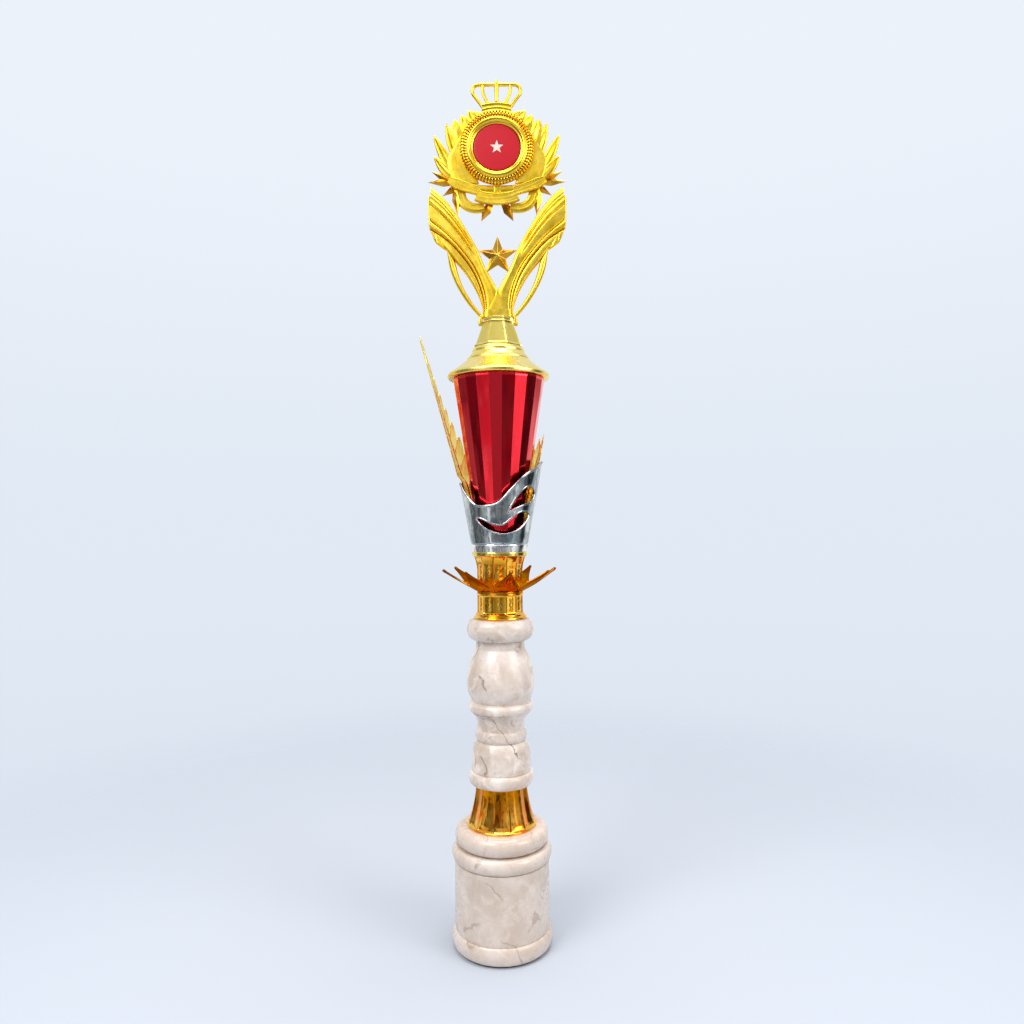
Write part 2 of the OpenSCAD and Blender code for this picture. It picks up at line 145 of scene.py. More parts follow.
def foot_of(node):
    """Height of a node's lowest point, in millimetres"""
    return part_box(node)[0].z / MM


def span(node):
    """Heights of a node's lowest and highest points, in millimetres"""
    return foot_of(node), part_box(node)[1].z / MM


# ---------------------------------------------------------------- curves

def bezier(a, b, c, d, steps=12):
    """Cubic curve from a to d, pulled towards b and c"""
    t = np.linspace(0, 1, steps + 1)[:, None]
    a, b, c, d = (np.asarray(p, float) for p in (a, b, c, d))
    return (1 - t) ** 3 * a + 3 * (1 - t) ** 2 * t * b + 3 * (1 - t) * t ** 2 * c + t ** 3 * d


def between(a, b, c, d, t):
    """Catmull-Rom value at t from b to c, with a before them and d after them"""
    return 0.5 * (2 * b + (c - a) * t + (2 * a - 5 * b + 4 * c - d) * t ** 2
                  + (3 * b - a - 3 * c + d) * t ** 3)


def through(points, steps=8):
    """Smooth curve through the points: a Catmull-Rom curve whose ends run straight out"""
    p = np.asarray(points, float)
    p = np.vstack([2 * p[0] - p[1], p, 2 * p[-1] - p[-2]])
    t = np.linspace(0, 1, steps, endpoint=False)[:, None, None]
    q = between(p[:-3], p[1:-2], p[2:-1], p[3:], t)
    return np.vstack([q.transpose(1, 0, 2).reshape(-1, p.shape[1]), p[-2]])


def evenly(path, count):
    """The path again with count points at equal distances along it"""
    path = np.asarray(path, float)
    run = np.concatenate([[0], np.cumsum(np.linalg.norm(np.diff(path, axis=0), axis=1))])
    at = np.linspace(0, run[-1], count)
    return np.column_stack([np.interp(at, run, path[:, k]) for k in range(path.shape[1])])


def evenly_split(path, longest):
    """The path with points added so that no stretch of it is over the longest length"""
    path = np.asarray(path, float)
    lengths = np.linalg.norm(np.diff(path, axis=0), axis=1)
    counts = np.maximum(np.ceil(lengths / longest).astype(int), 1)
    shares = [np.linspace(0, 1, n, endpoint=False)[:, None] for n in counts]
    parts = [a + t * (b - a) for a, b, t in zip(path[:-1], path[1:], shares)]
    return np.vstack(parts + [path[-1:]])


def rounded(path, radius, steps=4):
    """The path with each inner corner swapped for a quadratic curve that starts radius before it"""
    p = np.asarray(path, float)
    corner = p[1:-1]

    def towards(other):
        run = other - corner
        length = np.maximum(np.linalg.norm(run, axis=1, keepdims=True), 1e-9)
        return corner + run * np.minimum(radius / length, 0.45)

    a, b = towards(p[:-2])[:, None], towards(p[2:])[:, None]
    t = np.linspace(0, 1, steps + 1)[None, :, None]
    arcs = (1 - t) ** 2 * a + 2 * (1 - t) * t * corner[:, None] + t ** 2 * b
    return np.vstack([p[:1], arcs.reshape(-1, p.shape[1]), p[-1:]])


def softened(path, radius, longest, steps=3):
    """The path with rounded corners and no stretch over the longest length"""
    return evenly_split(rounded(path, radius, steps), longest)


def sideways(run):
    """Unit vectors at right angles to flat vectors, on their left"""
    run = np.asarray(run, float)
    left = np.stack([-run[..., 1], run[..., 0]], axis=-1)
    return left / np.linalg.norm(run, axis=-1, keepdims=True)


def star_plan(outer, inner, share):
    """Radius, x and z round a five-pointed star, from its middle at share 0 to its edge at 1"""
    a = np.radians(36 * np.arange(11))
    r = share * np.where(np.arange(11) % 2 == 0, outer, inner)
    return r, r * np.sin(a), r * np.cos(a)


def bead(r, z0, z1, swell, steps=16):
    """Half-round moulding between two heights: half an ellipse that swells out to radius r"""
    a = np.linspace(-pi / 2, pi / 2, steps)
    middle, half = (z0 + z1) / 2, (z1 - z0) / 2
    return np.column_stack([r - swell + swell * np.cos(a), middle + half * np.sin(a)])


def step(x, low, high):
    """0 below low, 1 above high and the smooth 3t^2 - 2t^3 between them"""
    t = np.clip((x - low) / (high - low), 0, 1)
    return t * t * (3 - 2 * t)


# ---------------------------------------------------------------- surfaces

def grid(points):
    """Quads between neighbours in an array of rows x columns x 3 points"""
    rows, columns = points.shape[:2]
    i = np.arange(rows * columns).reshape(rows, columns)
    quads = np.stack([i[:-1, :-1], i[:-1, 1:], i[1:, 1:], i[1:, :-1]], axis=-1)
    return points.reshape(-1, 3), quads.reshape(-1, 4)


def mirrored(part):
    """The same part on the other side of x = 0"""
    points, faces = part
    return points * [-1, 1, 1], faces[:, ::-1]


def both(parts):
    """The parts and their mirror images"""
    return parts + [mirrored(p) for p in parts]


def lathe(profile, columns=144, rule=None, angles=None):
    """Profile rows [radius, height] turned about the upright axis: x = r sin a, y = -r cos a.
    A rule(r, z, a) may change the radius from angle to angle."""
    profile = np.asarray(profile, float)
    a = (np.linspace(0, 2 * pi, columns + 1) if angles is None else angles)[None, :]
    r, z = profile[:, :1] + 0 * a, profile[:, 1:] + 0 * a
    if rule is not None:
        r = rule(r, z, a)
    return grid(np.stack([r * np.sin(a), -r * np.cos(a), z], axis=-1))


def medallion(profile, centre, columns=240, rule=None):
    """Profile rows [radius, distance forwards] turned about an axis that faces the front.
    A rule(r, f, a) may change the distance forwards."""
    profile = np.asarray(profile, float)
    a = np.linspace(0, 2 * pi, columns + 1)[None, :]
    r, f = profile[:, :1] + 0 * a, profile[:, 1:] + 0 * a
    if rule is not None:
        f = rule(r, f, a)
    return grid(np.stack([r * np.sin(a), -f, r * np.cos(a)], axis=-1) + centre)


def panels(sides, turn=0.0, rib=0.0, rib_width=0.7, dish=0.0):
    """Radius rule for flat panels: between its corners the radius is r cos(half) / cos(t), t being
    the angle from the panel's middle. A rib stands out at the corners, dish hollows the middle."""
    half = pi / sides

    def rule(r, z, a):
        t = np.mod(a - turn + half, 2 * half) - half
        beside = (half - np.abs(t)) * r
        return (r * cos(half) / np.cos(t) + rib * np.exp(-(beside / rib_width) ** 2)
                - dish * np.cos(t / half * pi / 2) ** 2)
    return rule


def panel_angles(sides, turn=0.0, across=(-1, -0.97, -0.9, -0.7, -0.4, 0, 0.4, 0.7, 0.9, 0.97)):
    """Column angles for panels: the same places across each panel, close together near corners"""
    half = pi / sides
    each = np.arange(sides)[:, None] * 2 * half + np.asarray(across)[None, :] * half + turn
    return np.append(each.ravel(), each[0, 0] + 2 * pi)


def capped(rows):
    """Adds a pole at each end of a tube of rows, in the middle of its end row"""
    first = np.repeat(rows[:1].mean(axis=1, keepdims=True), rows.shape[1], axis=1)
    last = np.repeat(rows[-1:].mean(axis=1, keepdims=True), rows.shape[1], axis=1)
    return np.concatenate([first, rows, last])


def each_row(value, path):
    """The value as a column with a row for every row of the path"""
    return np.broadcast_to(np.asarray(value, float).reshape(-1, 1), (len(path), 1))


def two_faced(flat, front, back):
    """Rows of a band over flat points [x, z]: its front at one set of y and its back at another"""
    x, z = flat[..., 0], flat[..., 1]
    return np.concatenate([np.stack([x, front, z], -1),
                           np.stack([x, back, z], -1)[:, ::-1]], axis=1)


def slab(left, right, depth, y=0.0, columns=15, power=4.0, relief=None, back=None):
    """Closed band between two upright flat curves [x, z]: at u from -1 to 1 across, its faces stand
    depth (1 - |u|^power)^(1/power) before and behind y. relief(s, u) adds to the front and back."""
    left, right = np.asarray(left, float), np.asarray(right, float)
    u = np.sin(np.linspace(-pi / 2, pi / 2, columns))[None, :]
    s = np.linspace(0, 1, len(left))[:, None]
    v = (u[..., None] + 1) / 2
    flat = left[:, None] * (1 - v) + right[:, None] * v
    depth = each_row(depth, left)
    edge = (1 - np.abs(u) ** power) ** (1 / power)
    bump = 0 if relief is None else relief(s, u) * edge
    front = depth * edge + bump
    behind = depth * edge + bump if back is None else back * edge + 0 * front
    return grid(capped(two_faced(flat, y - front, y + behind)))


def ribbon_band(path, width, depth, **more):
    """A slab of the given width along a flat path [x, z]"""
    path = np.asarray(path, float)
    half = sideways(np.gradient(path, axis=0)) * each_row(width, path) / 2
    return slab(path + half, path - half, depth, **more)


def tube(path, radius, outward, sides=10):
    """Round tube along 3-D points. Each ring lies across the path: one of its axes is the outward
    direction made square to the path, the other the cross product of the two."""
    path = np.asarray(path, float)
    run = np.gradient(path, axis=0)
    run /= np.linalg.norm(run, axis=1, keepdims=True)
    out = np.broadcast_to(np.asarray(outward, float), path.shape)
    out = out - (out * run).sum(axis=1, keepdims=True) * run
    out = out / np.linalg.norm(out, axis=1, keepdims=True)
    side = np.cross(run, out)
    a = np.linspace(0, 2 * pi, sides + 1)[None, :, None]
    r = each_row(radius, path)[:, :, None]
    return grid(capped(path[:, None] + r * (np.cos(a) * out[:, None] + np.sin(a) * side[:, None])))


def ray(root, tip, width, ridge, y=0.0, widest=0.3, steps=9):
    """Pointed ray with a sharp ridge: a diamond section that grows to its widest, then narrows"""
    root, tip = np.asarray(root, float), np.asarray(tip, float)
    run = tip - root
    s = np.linspace(0, 1, steps)
    swell = np.where(s < widest, 0.55 + 0.45 * s / widest, (1 - s) / (1 - widest))
    centre = root + s[:, None] * run
    edge = sideways(run) * (width / 2 * swell)[:, None]
    high = ridge * np.maximum(swell, 0.0)
    level = np.full(steps, y)
    corners = [(centre - edge, level), (centre, level - high), (centre + edge, level),
               (centre, level + high * 0.8), (centre - edge, level)]
    rows = np.stack([np.column_stack([c[:, 0], h, c[:, 1]]) for c, h in corners], axis=1)
    return grid(capped(rows))


def leaf_plan(root, tip, width, bend=0.0, widest=0.42, steps=25, columns=13):
    """A leaf's flat points, with its share along s and across u. Its half-width follows
    sin(pi s^k)^0.7, where k puts the widest place at `widest`; bend bows the middle line."""
    root, tip = np.asarray(root, float), np.asarray(tip, float)
    run = tip - root
    s = np.linspace(0, 1, steps)[:, None]
    u = np.sin(np.linspace(-pi / 2, pi / 2, columns))[None, :]
    k = np.log(0.5) / np.log(widest)
    half = width / 2 * np.maximum(np.sin(pi * s ** k), 0) ** 0.7
    side = bend * 4 * s * (1 - s) + half * u
    return root + s[..., None] * run + side[..., None] * sideways(run), s, u


def leaf_relief(s, u, thick, midrib=0.4, veins=0.06, count=6):
    """Height of a leaf's face: an arched blade, a groove beside the midrib and slanting veins"""
    arch = thick * (1 - u ** 2) ** 0.5
    rib = midrib * (np.exp(-(u / 0.10) ** 2) - 0.7 * np.exp(-((np.abs(u) - 0.24) / 0.14) ** 2))
    slant = veins * np.cos(2 * pi * (count * s - 1.6 * np.abs(u))) * np.abs(u) * (1 - np.abs(u))
    fade = step(s, 0, 0.12) * (1 - step(s, 0.86, 1))
    return arch * (0.35 + 0.65 * np.sin(pi * np.clip(s, 0.02, 0.98)) ** 0.5) + (rib + slant) * fade


def leaf(root, tip, width, thick, y=0.0, curl=0.0, **plan):
    """Closed laurel leaf: its front has the relief, its back is half as deep, and its tip curls
    forwards by curl"""
    flat, s, u = leaf_plan(root, tip, width, **plan)
    front = leaf_relief(s, u, thick)
    y = y - curl * s ** 2
    return grid(two_faced(flat, y - front, y + front * 0.5))


def piece(name, parts, finish, body, node, sharp=38, bevel=0.0, second=()):
    """One object from parts in millimetres: welds points that coincide, turns the faces outwards,
    shades it smooth but for edges over the sharp angle, and puts it on its body for its node. The
    second parts get the second finish."""
    every = [*parts, *second]
    points = np.concatenate([p for p, _ in every])
    starts = np.cumsum([0] + [len(p) for p, _ in every[:-1]])
    faces = np.concatenate([f + s for (_, f), s in zip(every, starts)])
    slots = np.arange(len(faces)) >= sum(len(f) for _, f in parts)
    mesh = bpy.data.meshes.new(name)
    mesh.from_pydata((points * MM).tolist(), [], faces.tolist())
    mesh.polygons.foreach_set("material_index", slots.astype(int))
    shape = bmesh.new()
    shape.from_mesh(mesh)
    bmesh.ops.remove_doubles(shape, verts=shape.verts, dist=2e-6)
    bmesh.ops.recalc_face_normals(shape, faces=shape.faces)
    shape.to_mesh(mesh)
    shape.free()
    mesh.shade_smooth()
    mesh.set_sharp_from_angle(angle=radians(sharp))
    obj = bpy.data.objects.new(name, mesh)
    bpy.context.scene.collection.objects.link(obj)
    for paint in finish if isinstance(finish, list) else [finish]:
        mesh.materials.append(paint)
    if bevel:
        edge = obj.modifiers.new("edges", "BEVEL")
        edge.width, edge.segments, edge.limit_method = bevel * MM, 2, "ANGLE"
        edge.angle_limit = radians(sharp)
        edge.harden_normals = True
    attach(obj, body)
    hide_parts(node)


# ---------------------------------------------------------------- finishes

class Nodes:
    """A node tree under construction"""

    def __init__(self, tree):
        self.tree = tree

    def node(self, kind, inputs=(), **settings):
        """Adds a node with its settings and inputs"""
        made = self.tree.nodes.new(kind)
        for key, value in settings.items():
            setattr(made, key, value)
        for key, value in dict(inputs).items():
            self.put(made.inputs[key], value)
        return made

    def put(self, socket, value):
        """Links the value to the socket if it is a socket itself, or else sets it"""
        if isinstance(value, bpy.types.NodeSocket):
            self.tree.links.new(value, socket)
        else:
            socket.default_value = value

    def math(self, operation, *values):
        """The result of the operation on the values"""
        return self.node("ShaderNodeMath", enumerate(values), operation=operation).outputs[0]

    def times(self, first, *others):
        """The product of all the values"""
        for other in others:
            first = self.math("MULTIPLY", first, other)
        return first

    def mix(self, share, a, b):
        """Colour a, or b where the share is 1"""
        inputs = {0: share, 6: a, 7: b}
        return self.node("ShaderNodeMix", inputs, data_type="RGBA").outputs[2]

    def ramp(self, value, stops):
        """The grey or colour at the value, eased between stops of (place, shade)"""
        made = self.node("ShaderNodeValToRGB", {0: value})
        made.color_ramp.interpolation = "EASE"
        while len(made.color_ramp.elements) < len(stops):
            made.color_ramp.elements.new(0.5)
        for element, (place, shade) in zip(made.color_ramp.elements, stops):
            element.position = place
            element.color = (*np.broadcast_to(shade, 3), 1)
        return made.outputs[0]


class Paint(Nodes):
    """A material under construction. Sizes of patterns are given in millimetres."""

    def __init__(self, name):
        self.material = bpy.data.materials.new(name)
        self.material.use_nodes = True
        super().__init__(self.material.node_tree)
        self.shader = self.tree.nodes["Principled BSDF"]
        self.place = self.node("ShaderNodeTexCoord").outputs["Object"]

    def set(self, **values):
        """Puts values into the shader's inputs, with underscores for the spaces in their names"""
        for key, value in values.items():
            self.put(self.shader.inputs[key.replace("_", " ")], value)

    def noise(self, size, detail=2.0, rough=0.5, warp=0.0, place=None):
        """Soft noise from 0 to 1"""
        inputs = {"Vector": place or self.place, "Scale": 1000 / size, "Detail": detail,
                  "Roughness": rough, "Distortion": warp}
        return self.node("ShaderNodeTexNoise", inputs).outputs["Fac"]

    def cells(self, size, feature="F1", place=None, output="Distance"):
        """A pattern of irregular cells"""
        inputs = {"Vector": place or self.place, "Scale": 1000 / size}
        return self.node("ShaderNodeTexVoronoi", inputs, feature=feature).outputs[output]

    def band(self, value, low, high, out_low=0.0, out_high=1.0):
        """The value mapped from low..high to out_low..out_high, smooth and clamped"""
        inputs = enumerate((value, low, high, out_low, out_high))
        return self.node("ShaderNodeMapRange", inputs, interpolation_type="SMOOTHSTEP").outputs[0]

    def bump(self, height, depth, before=None):
        """Normals bent by the height times the depth, on top of the normals before"""
        inputs = {"Height": height, "Distance": depth * MM, "Strength": 1.0}
        if before is not None:
            inputs["Normal"] = before
        return self.node("ShaderNodeBump", inputs).outputs["Normal"]

    def axes(self):
        """The place's x, y and z"""
        made = self.node("ShaderNodeSeparateXYZ", {"Vector": self.place})
        return made.outputs["X"], made.outputs["Y"], made.outputs["Z"]

    def reach(self):
        """Distance from the upright axis"""
        x, y, _ = self.axes()
        squares = self.math("ADD", self.times(x, x), self.times(y, y))
        return self.math("SQRT", squares)


def tinted(colour, power, share=1.0):
    """The colour with its channels raised to a power, which deepens its hue, then scaled"""
    return tuple(share * c ** power for c in colour[:3]) + (1.0,)


def plating(name, colour, roughness=0.12, ripple=0.10, ripple_size=14, deepen=1.35, crevice_shade=0.0,
            rim=None, tips=None, edge=(1, 1, 1, 1)):
    """Vacuum plating on moulded plastic: it pools deeper here and there, its gloss varies, and the
    moulding under it ripples slightly. crevice darkens the hollows with painted shade; rim paints
    another colour above a height, or below it where its blur is negative; tips deepens the colour
    from one radius out to another; edge tints glancing light."""
    paint = Paint(name)
    cloud = paint.noise(ripple_size * 1.7, 3.0, 0.6)
    tint = paint.mix(paint.band(cloud, 0.35, 0.68), tinted(colour, deepen), tuple(colour))
    if rim is not None:
        other, height, blur = rim
        above = paint.band(paint.axes()[2], (height - blur) * MM, (height + blur) * MM)
        tint = paint.mix(above, tint, tuple(other))
    if tips is not None:
        outwards = paint.band(paint.reach(), tips[0] * MM, tips[1] * MM, 0.0, 0.85)
        tint = paint.mix(outwards, tint, tinted(colour, 2.5, 0.35))
    if crevice_shade:
        # painted shade: the hollows, found by pointiness, are darkened towards a deep brown as if
        # less light reached them
        hollow = paint.node("ShaderNodeNewGeometry").outputs["Pointiness"]
        dark = paint.band(hollow, 0.40, 0.475, crevice_shade, 0.0)
        tint = paint.mix(dark, tint, tinted(colour, 2.4, 0.45))
    scuffs = paint.noise(7, 3.0, 0.6, 0.6)
    paint.set(Base_Color=tint, Metallic=1.0, Specular_Tint=tuple(edge),
              Roughness=paint.band(scuffs, 0.3, 0.75, roughness * 0.85, roughness * 1.25),
              Normal=paint.bump(paint.noise(ripple_size, 1.0, 0.4), ripple))
    return paint.material


def figure_plating(name, roughness, ripple_size, deepen, crevice_shade):
    """The figure's satin lemon gold, yellow in glancing light too"""
    gold = colours().figure_gold
    # crevice sets how much painted shade darkens the figure's hollows
    return plating(name, gold, roughness, 0.03, ripple_size, deepen, crevice_shade, edge=gold)


def stone_finish(name, shade):
    """Polished limestone marble: soft clouds, fine brown veins along the borders of warped cells,
    scattered pits, and one marked vein that slants across the column"""
    c = colours()
    paint = Paint(name)
    x, y, z = paint.axes()
    clouds = paint.band(paint.noise(26, 5.0, 0.62, 0.5), 0.36, 0.66)
    tint = paint.mix(clouds, tuple(c.stone), tuple(c.stone_warm))
    tint = paint.mix(paint.band(paint.noise(3.2, 6.0, 0.7), 0.40, 0.72, 0.0, 0.35), tint,
                     tuple(c.stone_warm))
    pale = tuple(min(1.0, v * 1.22) for v in c.stone[:3]) + (1.0,)
    tint = paint.mix(paint.band(paint.noise(12, 4.0, 0.6, 1.0), 0.48, 0.74, 0.0, 0.6), tint, pale)
    warp = paint.node("ShaderNodeTexNoise", {"Vector": paint.place, "Scale": 60.0, "Detail": 4.0})
    bent = paint.node("ShaderNodeVectorMath", operation="MULTIPLY_ADD",
                      inputs={0: warp.outputs["Color"], 1: (0.022, 0.022, 0.022), 2: paint.place})
    border = paint.cells(38, "DISTANCE_TO_EDGE", bent.outputs[0])
    broken = paint.band(paint.noise(15, 2.0), 0.50, 0.62)
    vein = paint.times(paint.band(border, 0.004, 0.030, 0.60, 0.0), broken)
    tint = paint.mix(vein, tint, tuple(c.vein))
    tint = paint.mix(shade, tint, tuple(c.stone_warm))
    wander = paint.noise(9, 4.0, 0.6)
    # the marked vein: a slanting plane bent by noise, shown in a window on the column's front
    slant = paint.math("ADD", paint.math("MULTIPLY", x, 1.36), z)
    off = paint.math("SUBTRACT", paint.math("MULTIPLY_ADD", wander, 0.016, slant), 0.1751)
    near = paint.band(paint.math("ABSOLUTE", off), 0.0001, 0.0008, 0.85, 0.0)
    window = paint.times(paint.band(x, -0.014, -0.006), paint.band(x, 0.024, 0.018),
                         paint.band(y, 0.0, -0.008), paint.band(z, 0.142, 0.150),
                         paint.band(z, 0.186, 0.178))
    tint = paint.mix(paint.times(near, window), tint, tuple(c.vein))
    holes = paint.cells(5.5)
    rare = paint.band(paint.cells(5.5, output="Color"), 0.80, 0.84)
    pit = paint.times(paint.band(holes, 0.05, 0.11, 1.0, 0.0), rare)
    tint = paint.mix(paint.times(pit, 0.75), tint, tuple(c.vein))
    paint.set(Base_Color=tint, Roughness=paint.band(paint.noise(6, 4.0), 0.3, 0.7, 0.22, 0.36),
              Coat_Weight=0.25, Coat_Roughness=0.12, Specular_IOR_Level=0.5,
              Subsurface_Weight=0.06, Subsurface_Radius=(0.004, 0.003, 0.002))
    paint.set(Normal=paint.bump(paint.noise(4, 5.0, 0.6), 0.035, paint.bump(pit, -0.25)))
    return paint.material


def felt_finish():
    """Short dark felt: matted fibres"""
    paint = Paint("felt")
    fibres = paint.noise(0.8, 6.0, 0.8, 2.0)
    dark = tuple(colours().felt)
    light = tuple(v * 2.4 for v in dark[:3]) + (1.0,)
    paint.set(Base_Color=paint.mix(paint.band(fibres, 0.35, 0.7), dark, light),
              Roughness=0.95, Sheen_Weight=0.4, Sheen_Roughness=0.5,
              Normal=paint.bump(fibres, 0.3))
    return paint.material


def zinc_finish():
    """Zinc-plated steel: a cool grey with a faint crystal pattern and uneven gloss"""
    paint = Paint("zinc")
    spangle = paint.cells(3.0, output="Color")
    tint = paint.mix(paint.band(spangle, 0.1, 0.9), (0.50, 0.52, 0.55, 1), (0.66, 0.67, 0.66, 1))
    gloss = paint.band(paint.noise(1.5, 4.0), 0.3, 0.7, 0.24, 0.42)
    paint.set(Base_Color=tint, Metallic=1.0, Roughness=gloss,
              Normal=paint.bump(paint.noise(0.7, 3.0), 0.02))
    return paint.material


def red_mirror_finish():
    """Metallised red under a clear skin: streaks run up the wall, and the skin is a bit uneven"""
    paint = Paint("red_mirror")
    stretch = paint.node("ShaderNodeMapping", {"Vector": paint.place, "Scale": (1.0, 1.0, 0.16)})
    streak = paint.noise(5.0, 3.0, 0.6, 0.3, stretch.outputs["Vector"])
    red = tuple(colours().red)
    tint = paint.mix(paint.band(streak, 0.38, 0.66, 0.0, 0.55), red, tinted(red, 1.5))
    waves = paint.noise(11, 2.0, 0.5, 0.4, stretch.outputs["Vector"])
    normal = paint.bump(paint.noise(1.4, 2.0), 0.006, paint.bump(waves, 0.16))
    paint.set(Base_Color=tint, Metallic=1.0, Coat_Weight=0.7, Coat_Roughness=0.06, Coat_IOR=1.5,
              Roughness=paint.band(streak, 0.3, 0.7, 0.13, 0.22), Normal=normal)
    return paint.material


def enamel_finish(name, colour):
    """Printed gloss foil: a fine grain under a clear coat"""
    paint = Paint(name)
    grain = paint.noise(1.1, 4.0, 0.7)
    tint = paint.mix(paint.band(grain, 0.35, 0.7, 0.0, 0.4), tuple(colour), tinted(colour, 1.25))
    paint.set(Base_Color=tint, Roughness=paint.band(grain, 0.3, 0.7, 0.38, 0.5), Coat_Weight=0.08,
              Coat_Roughness=0.15, Specular_IOR_Level=0.3, Normal=paint.bump(grain, 0.01))
    return paint.material


# ---------------------------------------------------------------- operators: the stand

SLEEVE_FOOT_R = 21.2
SLEEVE_SLOPE = 0.185
SLEEVE_WAVE = (37.5, 48, 58, 63, 68.3, 67, 57, 45, 37, 34.8, 36, 41, 47.5, 52.5, 51.5, 43, 35.5,
               34.9)
ROD_HOLE_R, STUD_HOLE_R = 4.6, 3.05
THREAD = {"tie_rod": 1.25, "stud": 1.0}


class TROPHY_OT_felt(bpy.types.Operator):
    """Felt disc under the stone base, with a soft rounded rim"""

    bl_idname = "trophy.felt"
    bl_label = "Felt Disc"

    def execute(self, context):
        low, high = span("felt_pad")
        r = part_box("felt_pad")[1].x / MM
        edge = rounded([[0, low], [r, low], [r, high], [0, high]], 0.5)

        def frayed(radius, z, a):
            return radius - 0.10 * (1 + np.sin(37 * a + 3 * np.sin(5 * a))) * (radius > r - 1)
        piece("felt_disc", [lathe(edge, 240, frayed)], felt_finish(), "stand", "felt_pad")
        return {"FINISHED"}


def uneven(r, z, a):
    """Hand-finished stone: the radius wanders by a few hundredths of a millimetre"""
    waves = ((3, 0.11, 0), (5, -0.07, 1.3), (2, 0.23, 4.0))
    wander = sum(np.sin(times * a + climb * z + start) for times, climb, start in waves)
    return r + 0.03 * wander * (r > 12)


class TROPHY_OT_stone(bpy.types.Operator):
    """Turned stone base and column, both bored for the rod that clamps them"""

    bl_idname = "trophy.stone"
    bl_label = "Stone Base and Column"

    def execute(self, context):
        low, top = span("marble_base")
        drum, bore_top, bore_r = 36.5, 15.5, 11.0
        base = np.vstack([
            [[ROD_HOLE_R, bore_top], [bore_r, bore_top], [bore_r, low]],
            bead(drum + 2.1, low, 14.5, 2.6), [[drum, 15.1], [drum, top - 26]],
            bead(drum + 2, top - 25.5, top - 14, 3.6), bead(drum - 0.5, top - 14, top, 5.5),
            [[ROD_HOLE_R + 1, top], [ROD_HOLE_R, top - 0.6], [ROD_HOLE_R, bore_top]]])
        base = softened(base, 0.5, 2.5)
        piece("stone_base", [lathe(base, 192, uneven)], stone_finish("stone_base", 0.42), "stand",
              "marble_base", sharp=50)
        z, top = span("marble_column")
        column = np.vstack([
            [[ROD_HOLE_R, z], [22, z]], bead(25.2, z, z + 10, 2.6),
            bezier([23, z + 10.6], [22.9, z + 17], [22.8, z + 29], [19.2, z + 33], 16),
            bead(19.9, z + 33.5, z + 42, 1.6),
            bezier([18.3, z + 42.5], [18, z + 48], [19.6, z + 52.5], [23, z + 55], 12),
            bead(25, z + 55.5, z + 63, 2.4),
            bezier([21.8, z + 63.5], [27.8, z + 71], [28.4, z + 87], [19, z + 104], 26),
            [[18.9, top - 16.5]], bead(26, top - 16, top, 5, 20),
            [[ROD_HOLE_R + 1, top], [ROD_HOLE_R, top - 0.6], [ROD_HOLE_R, z]]])
        column = softened(column, 0.4, 2.5)
        piece("stone_column", [lathe(column, 192, uneven)], stone_finish("stone_column", 0.0),
              "stand", "marble_column", sharp=50)
        return {"FINISHED"}


def threaded(r, low, high, pitch):
    """Threaded rod: the radius follows a rounded triangle wave of the height less the angle's share
    of a pitch, and the ends are chamfered"""
    rows = int((high - low) / pitch * 4)
    z = np.linspace(low, high, rows + 1)
    ends = np.minimum(z - low, high - z)
    profile = np.column_stack([r - np.maximum(0.7 - ends, 0), z])
    profile = np.vstack([[[0, low]], profile, [[0, high]]])

    def rule(radius, height, a):
        phase = np.mod(height / pitch - a / (2 * pi), 1)
        groove = 0.58 * pitch * (0.5 - np.abs(phase - 0.5)) * 1.2
        return np.where(radius > 0, np.maximum(radius - np.minimum(groove, 0.55 * pitch), 0.1), 0)
    return lathe(profile, 20, rule)


def nut(across, bore, low, high):
    """Hexagon nut: the radius is the hexagon's, held inside a cone that chamfers the corners"""
    corner = across / 2 / cos(pi / 6)
    chamfer = 0.9
    outline = softened([[bore + 0.5, low], [corner, low], [corner, high], [bore + 0.5, high],
                        [bore, high - 0.5], [bore, low + 0.5], [bore + 0.5, low]], 0.2, 0.8, 2)

    def rule(r, z, a):
        flat = across / 2 / np.cos(np.mod(a + pi / 6, pi / 3) - pi / 6)
        slope = corner - np.maximum(chamfer - np.minimum(z - low, high - z), 0) * 1.6
        return np.minimum(r, np.minimum(flat, np.maximum(slope, bore + 0.5)))
    return lathe(outline, 96, rule)


class TROPHY_OT_fasteners(bpy.types.Operator):
    """Threaded rod and stud with their nuts; the washers stay as they are and get their finish"""

    bl_idname = "trophy.fasteners"
    bl_label = "Rod, Stud, Nuts and Washers"

    def execute(self, context):
        zinc = zinc_finish()
        homes = {"tie_rod": "stand", "stud": "head"}
        for node, body in homes.items():
            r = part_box(node)[1].x / MM
            piece(node + "_thread", [threaded(r, *span(node), THREAD[node])], zinc,
                  body, node, sharp=60)
        nuts = {"rod_nut_lower": (13, 4.05, "stand"), "rod_nut_upper": (13, 4.05, "stand"),
                "stud_nut": (10, 3.05, "head")}
        for node, (across, bore, body) in nuts.items():
            hexagon = nut(across, bore, *span(node))
            piece(node.replace("_nut", "_hexnut"), [hexagon], zinc, body, node, sharp=30)
        for node in ("rod_washer_lower", "rod_washer_upper", "stud_washer"):
            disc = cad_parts[node].data
            disc.materials.clear()
            disc.materials.append(zinc)
        return {"FINISHED"}


def ornament(sides, low, high, height):
    """Radius rule that adds a moulded ornament to every panel: a lozenge between two bosses"""
    half = pi / sides
    middle = (low + high) / 2

    def rule(r, z, a):
        across = (np.mod(a + half, 2 * half) - half) * r
        lozenge = 1 - np.abs(across) / 1.9 - np.abs(z - middle) / 2.6
        bosses = sum(np.exp(-(across ** 2 + (z - at) ** 2) / 1.1) for at in (low + 1.6, high - 1.6))
        return height * (step(lozenge, 0, 0.35) * (1 - 0.6 * step(lozenge, 0.5, 0.8)) + bosses)
    return rule


